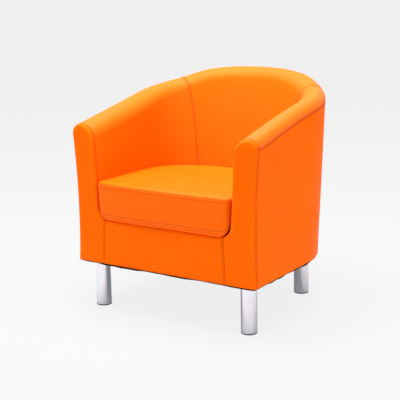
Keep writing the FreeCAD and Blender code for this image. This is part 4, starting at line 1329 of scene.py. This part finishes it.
class OBJECT_OT_tub_stage(ChairOperator):
    """Sets the floor, the backdrop, the lamps and the camera"""

    bl_idname = "object.tub_stage"
    bl_label = "Stage"

    def build(self, sizes, colours):
        scene = bpy.context.scene
        scene.view_settings.view_transform = "Standard"
        self.floor(tuple(colours.backdrop))
        self.world(tuple(colours.backdrop))
        self.lamp("overhead", (-0.2, -0.1, 2.6), (0.0, 0.0, 0.4), 2.0, 140.0)
        self.lamp("front_left", (-1.6, -3.0, 1.3), (0.0, 0.0, 0.4), 1.8, 26.0)
        self.lamp("right", (3.0, 0.1, 1.3), (0.0, 0.0, 0.4), 1.6, 34.0)
        self.camera()

    def floor(self, pale):
        size = 40.0
        mesh = bpy.data.meshes.new("floor")
        corners = [(-size, -size, 0), (size, -size, 0), (size, size, 0), (-size, size, 0)]
        mesh.from_pydata(corners, [], [(0, 1, 2, 3)])
        floor = bpy.data.objects.new("floor", mesh)
        bpy.context.scene.collection.objects.link(floor)
        finish = Finish("floor", Roughness=0.9, Specular_IOR_Level=0.0)
        finish.surface(Base_Color=scaled(pale, 0.70))
        glow = finish.node("ShaderNodeEmission", {}, {"Color": pale, "Strength": 1.0})
        seen = finish.light_path("Is Camera Ray") + finish.light_path("Is Glossy Ray") * 0.25
        share = seen * 0.92
        mixed = finish.node(
            "ShaderNodeMixShader", {},
            {0: share, 1: Signal(finish, finish.shader.outputs[0]), 2: glow},
        )
        output = finish.tree.nodes["Material Output"]
        finish.feed(output, {"Surface": mixed})
        mesh.materials.append(finish.material)

    def world(self, pale):
        world = bpy.data.worlds.new("studio")
        bpy.context.scene.world = world
        finish = Nodes(world)
        seen = finish.light_path("Is Camera Ray") + finish.light_path("Is Glossy Ray")
        seen += finish.light_path("Is Transmission Ray")
        shown = finish.node("ShaderNodeBackground", {}, {"Color": pale, "Strength": 1.0})
        light = finish.node("ShaderNodeBackground", {}, {"Color": (1.0, 1.0, 1.0), "Strength": 0.45})
        mixed = finish.node("ShaderNodeMixShader", {}, {0: seen, 1: light, 2: shown})
        finish.feed(finish.tree.nodes["World Output"], {"Surface": mixed})

    def lamp(self, name, place, aim, size, power):
        data = bpy.data.lights.new(name, "AREA")
        data.shape, data.size, data.energy = "SQUARE", size, power
        lamp = bpy.data.objects.new(name, data)
        lamp.location = place
        towards = Vector(aim) - Vector(place)
        lamp.rotation_mode = "QUATERNION"
        lamp.rotation_quaternion = towards.to_track_quat("-Z", "Y")
        bpy.context.scene.collection.objects.link(lamp)

    def camera(self):
        """A long lens at the place and turn that the photograph was taken from."""
        azimuth, elevation, roll = (math.radians(angle) for angle in (33.43, 13.19, -1.01))
        data = bpy.data.cameras.new("camera")
        data.sensor_width, data.lens = 36.0, 99.46
        data.clip_start, data.clip_end = 0.1, 60.0
        camera = bpy.data.objects.new("camera", data)
        back = Vector(
            (
                math.sin(azimuth) * math.cos(elevation),
                -math.cos(azimuth) * math.cos(elevation),
                math.sin(elevation),
            )
        )
        right = Vector((math.cos(azimuth), math.sin(azimuth), 0.0))
        up = back.cross(right)
        turned_right = math.cos(roll) * right + math.sin(roll) * up
        turned_up = math.cos(roll) * up - math.sin(roll) * right
        turn = Matrix((turned_right, turned_up, back)).transposed()
        camera.matrix_world = Matrix.Translation((1.9153, -3.0009, 1.1647)) @ turn.to_4x4()
        bpy.context.scene.collection.objects.link(camera)
        bpy.context.scene.camera = camera


class VIEW3D_PT_tub_chair(bpy.types.Panel):
    """Lists the chair's settings and the operators that build it"""

    bl_label = "Tub Chair"
    bl_space_type = "VIEW_3D"
    bl_region_type = "UI"
    bl_category = "Tub Chair"

    def draw(self, context):
        layout = self.layout
        for group in (context.scene.tub_chair_sizes, context.scene.tub_chair_finish):
            for name in group.__annotations__:
                layout.prop(group, name)
        for operator in OPERATORS:
            layout.operator(operator.bl_idname)


OPERATORS = (
    OBJECT_OT_tub_legs,
    OBJECT_OT_tub_inside,
    OBJECT_OT_tub_outside,
    OBJECT_OT_tub_fronts,
    OBJECT_OT_tub_cushion,
    OBJECT_OT_tub_cloths,
    OBJECT_OT_tub_stitching,
    OBJECT_OT_tub_stage,
)
CLASSES = (TubChairSizes, TubChairFinish, *OPERATORS, VIEW3D_PT_tub_chair)


def register():
    for item in CLASSES:
        bpy.utils.register_class(item)
    bpy.types.Scene.tub_chair_sizes = bpy.props.PointerProperty(type=TubChairSizes)
    bpy.types.Scene.tub_chair_finish = bpy.props.PointerProperty(type=TubChairFinish)


def unregister():
    del bpy.types.Scene.tub_chair_finish
    del bpy.types.Scene.tub_chair_sizes
    for item in reversed(CLASSES):
        bpy.utils.unregister_class(item)


def main():
    register()
    bpy.ops.object.tub_legs()
    bpy.ops.object.tub_inside()
    bpy.ops.object.tub_outside()
    bpy.ops.object.tub_fronts()
    bpy.ops.object.tub_cushion()
    bpy.ops.object.tub_cloths()
    bpy.ops.object.tub_stitching()
    bpy.ops.object.tub_stage()
    bpy.context.view_layer.update()


if __name__ == "__main__":
    main()
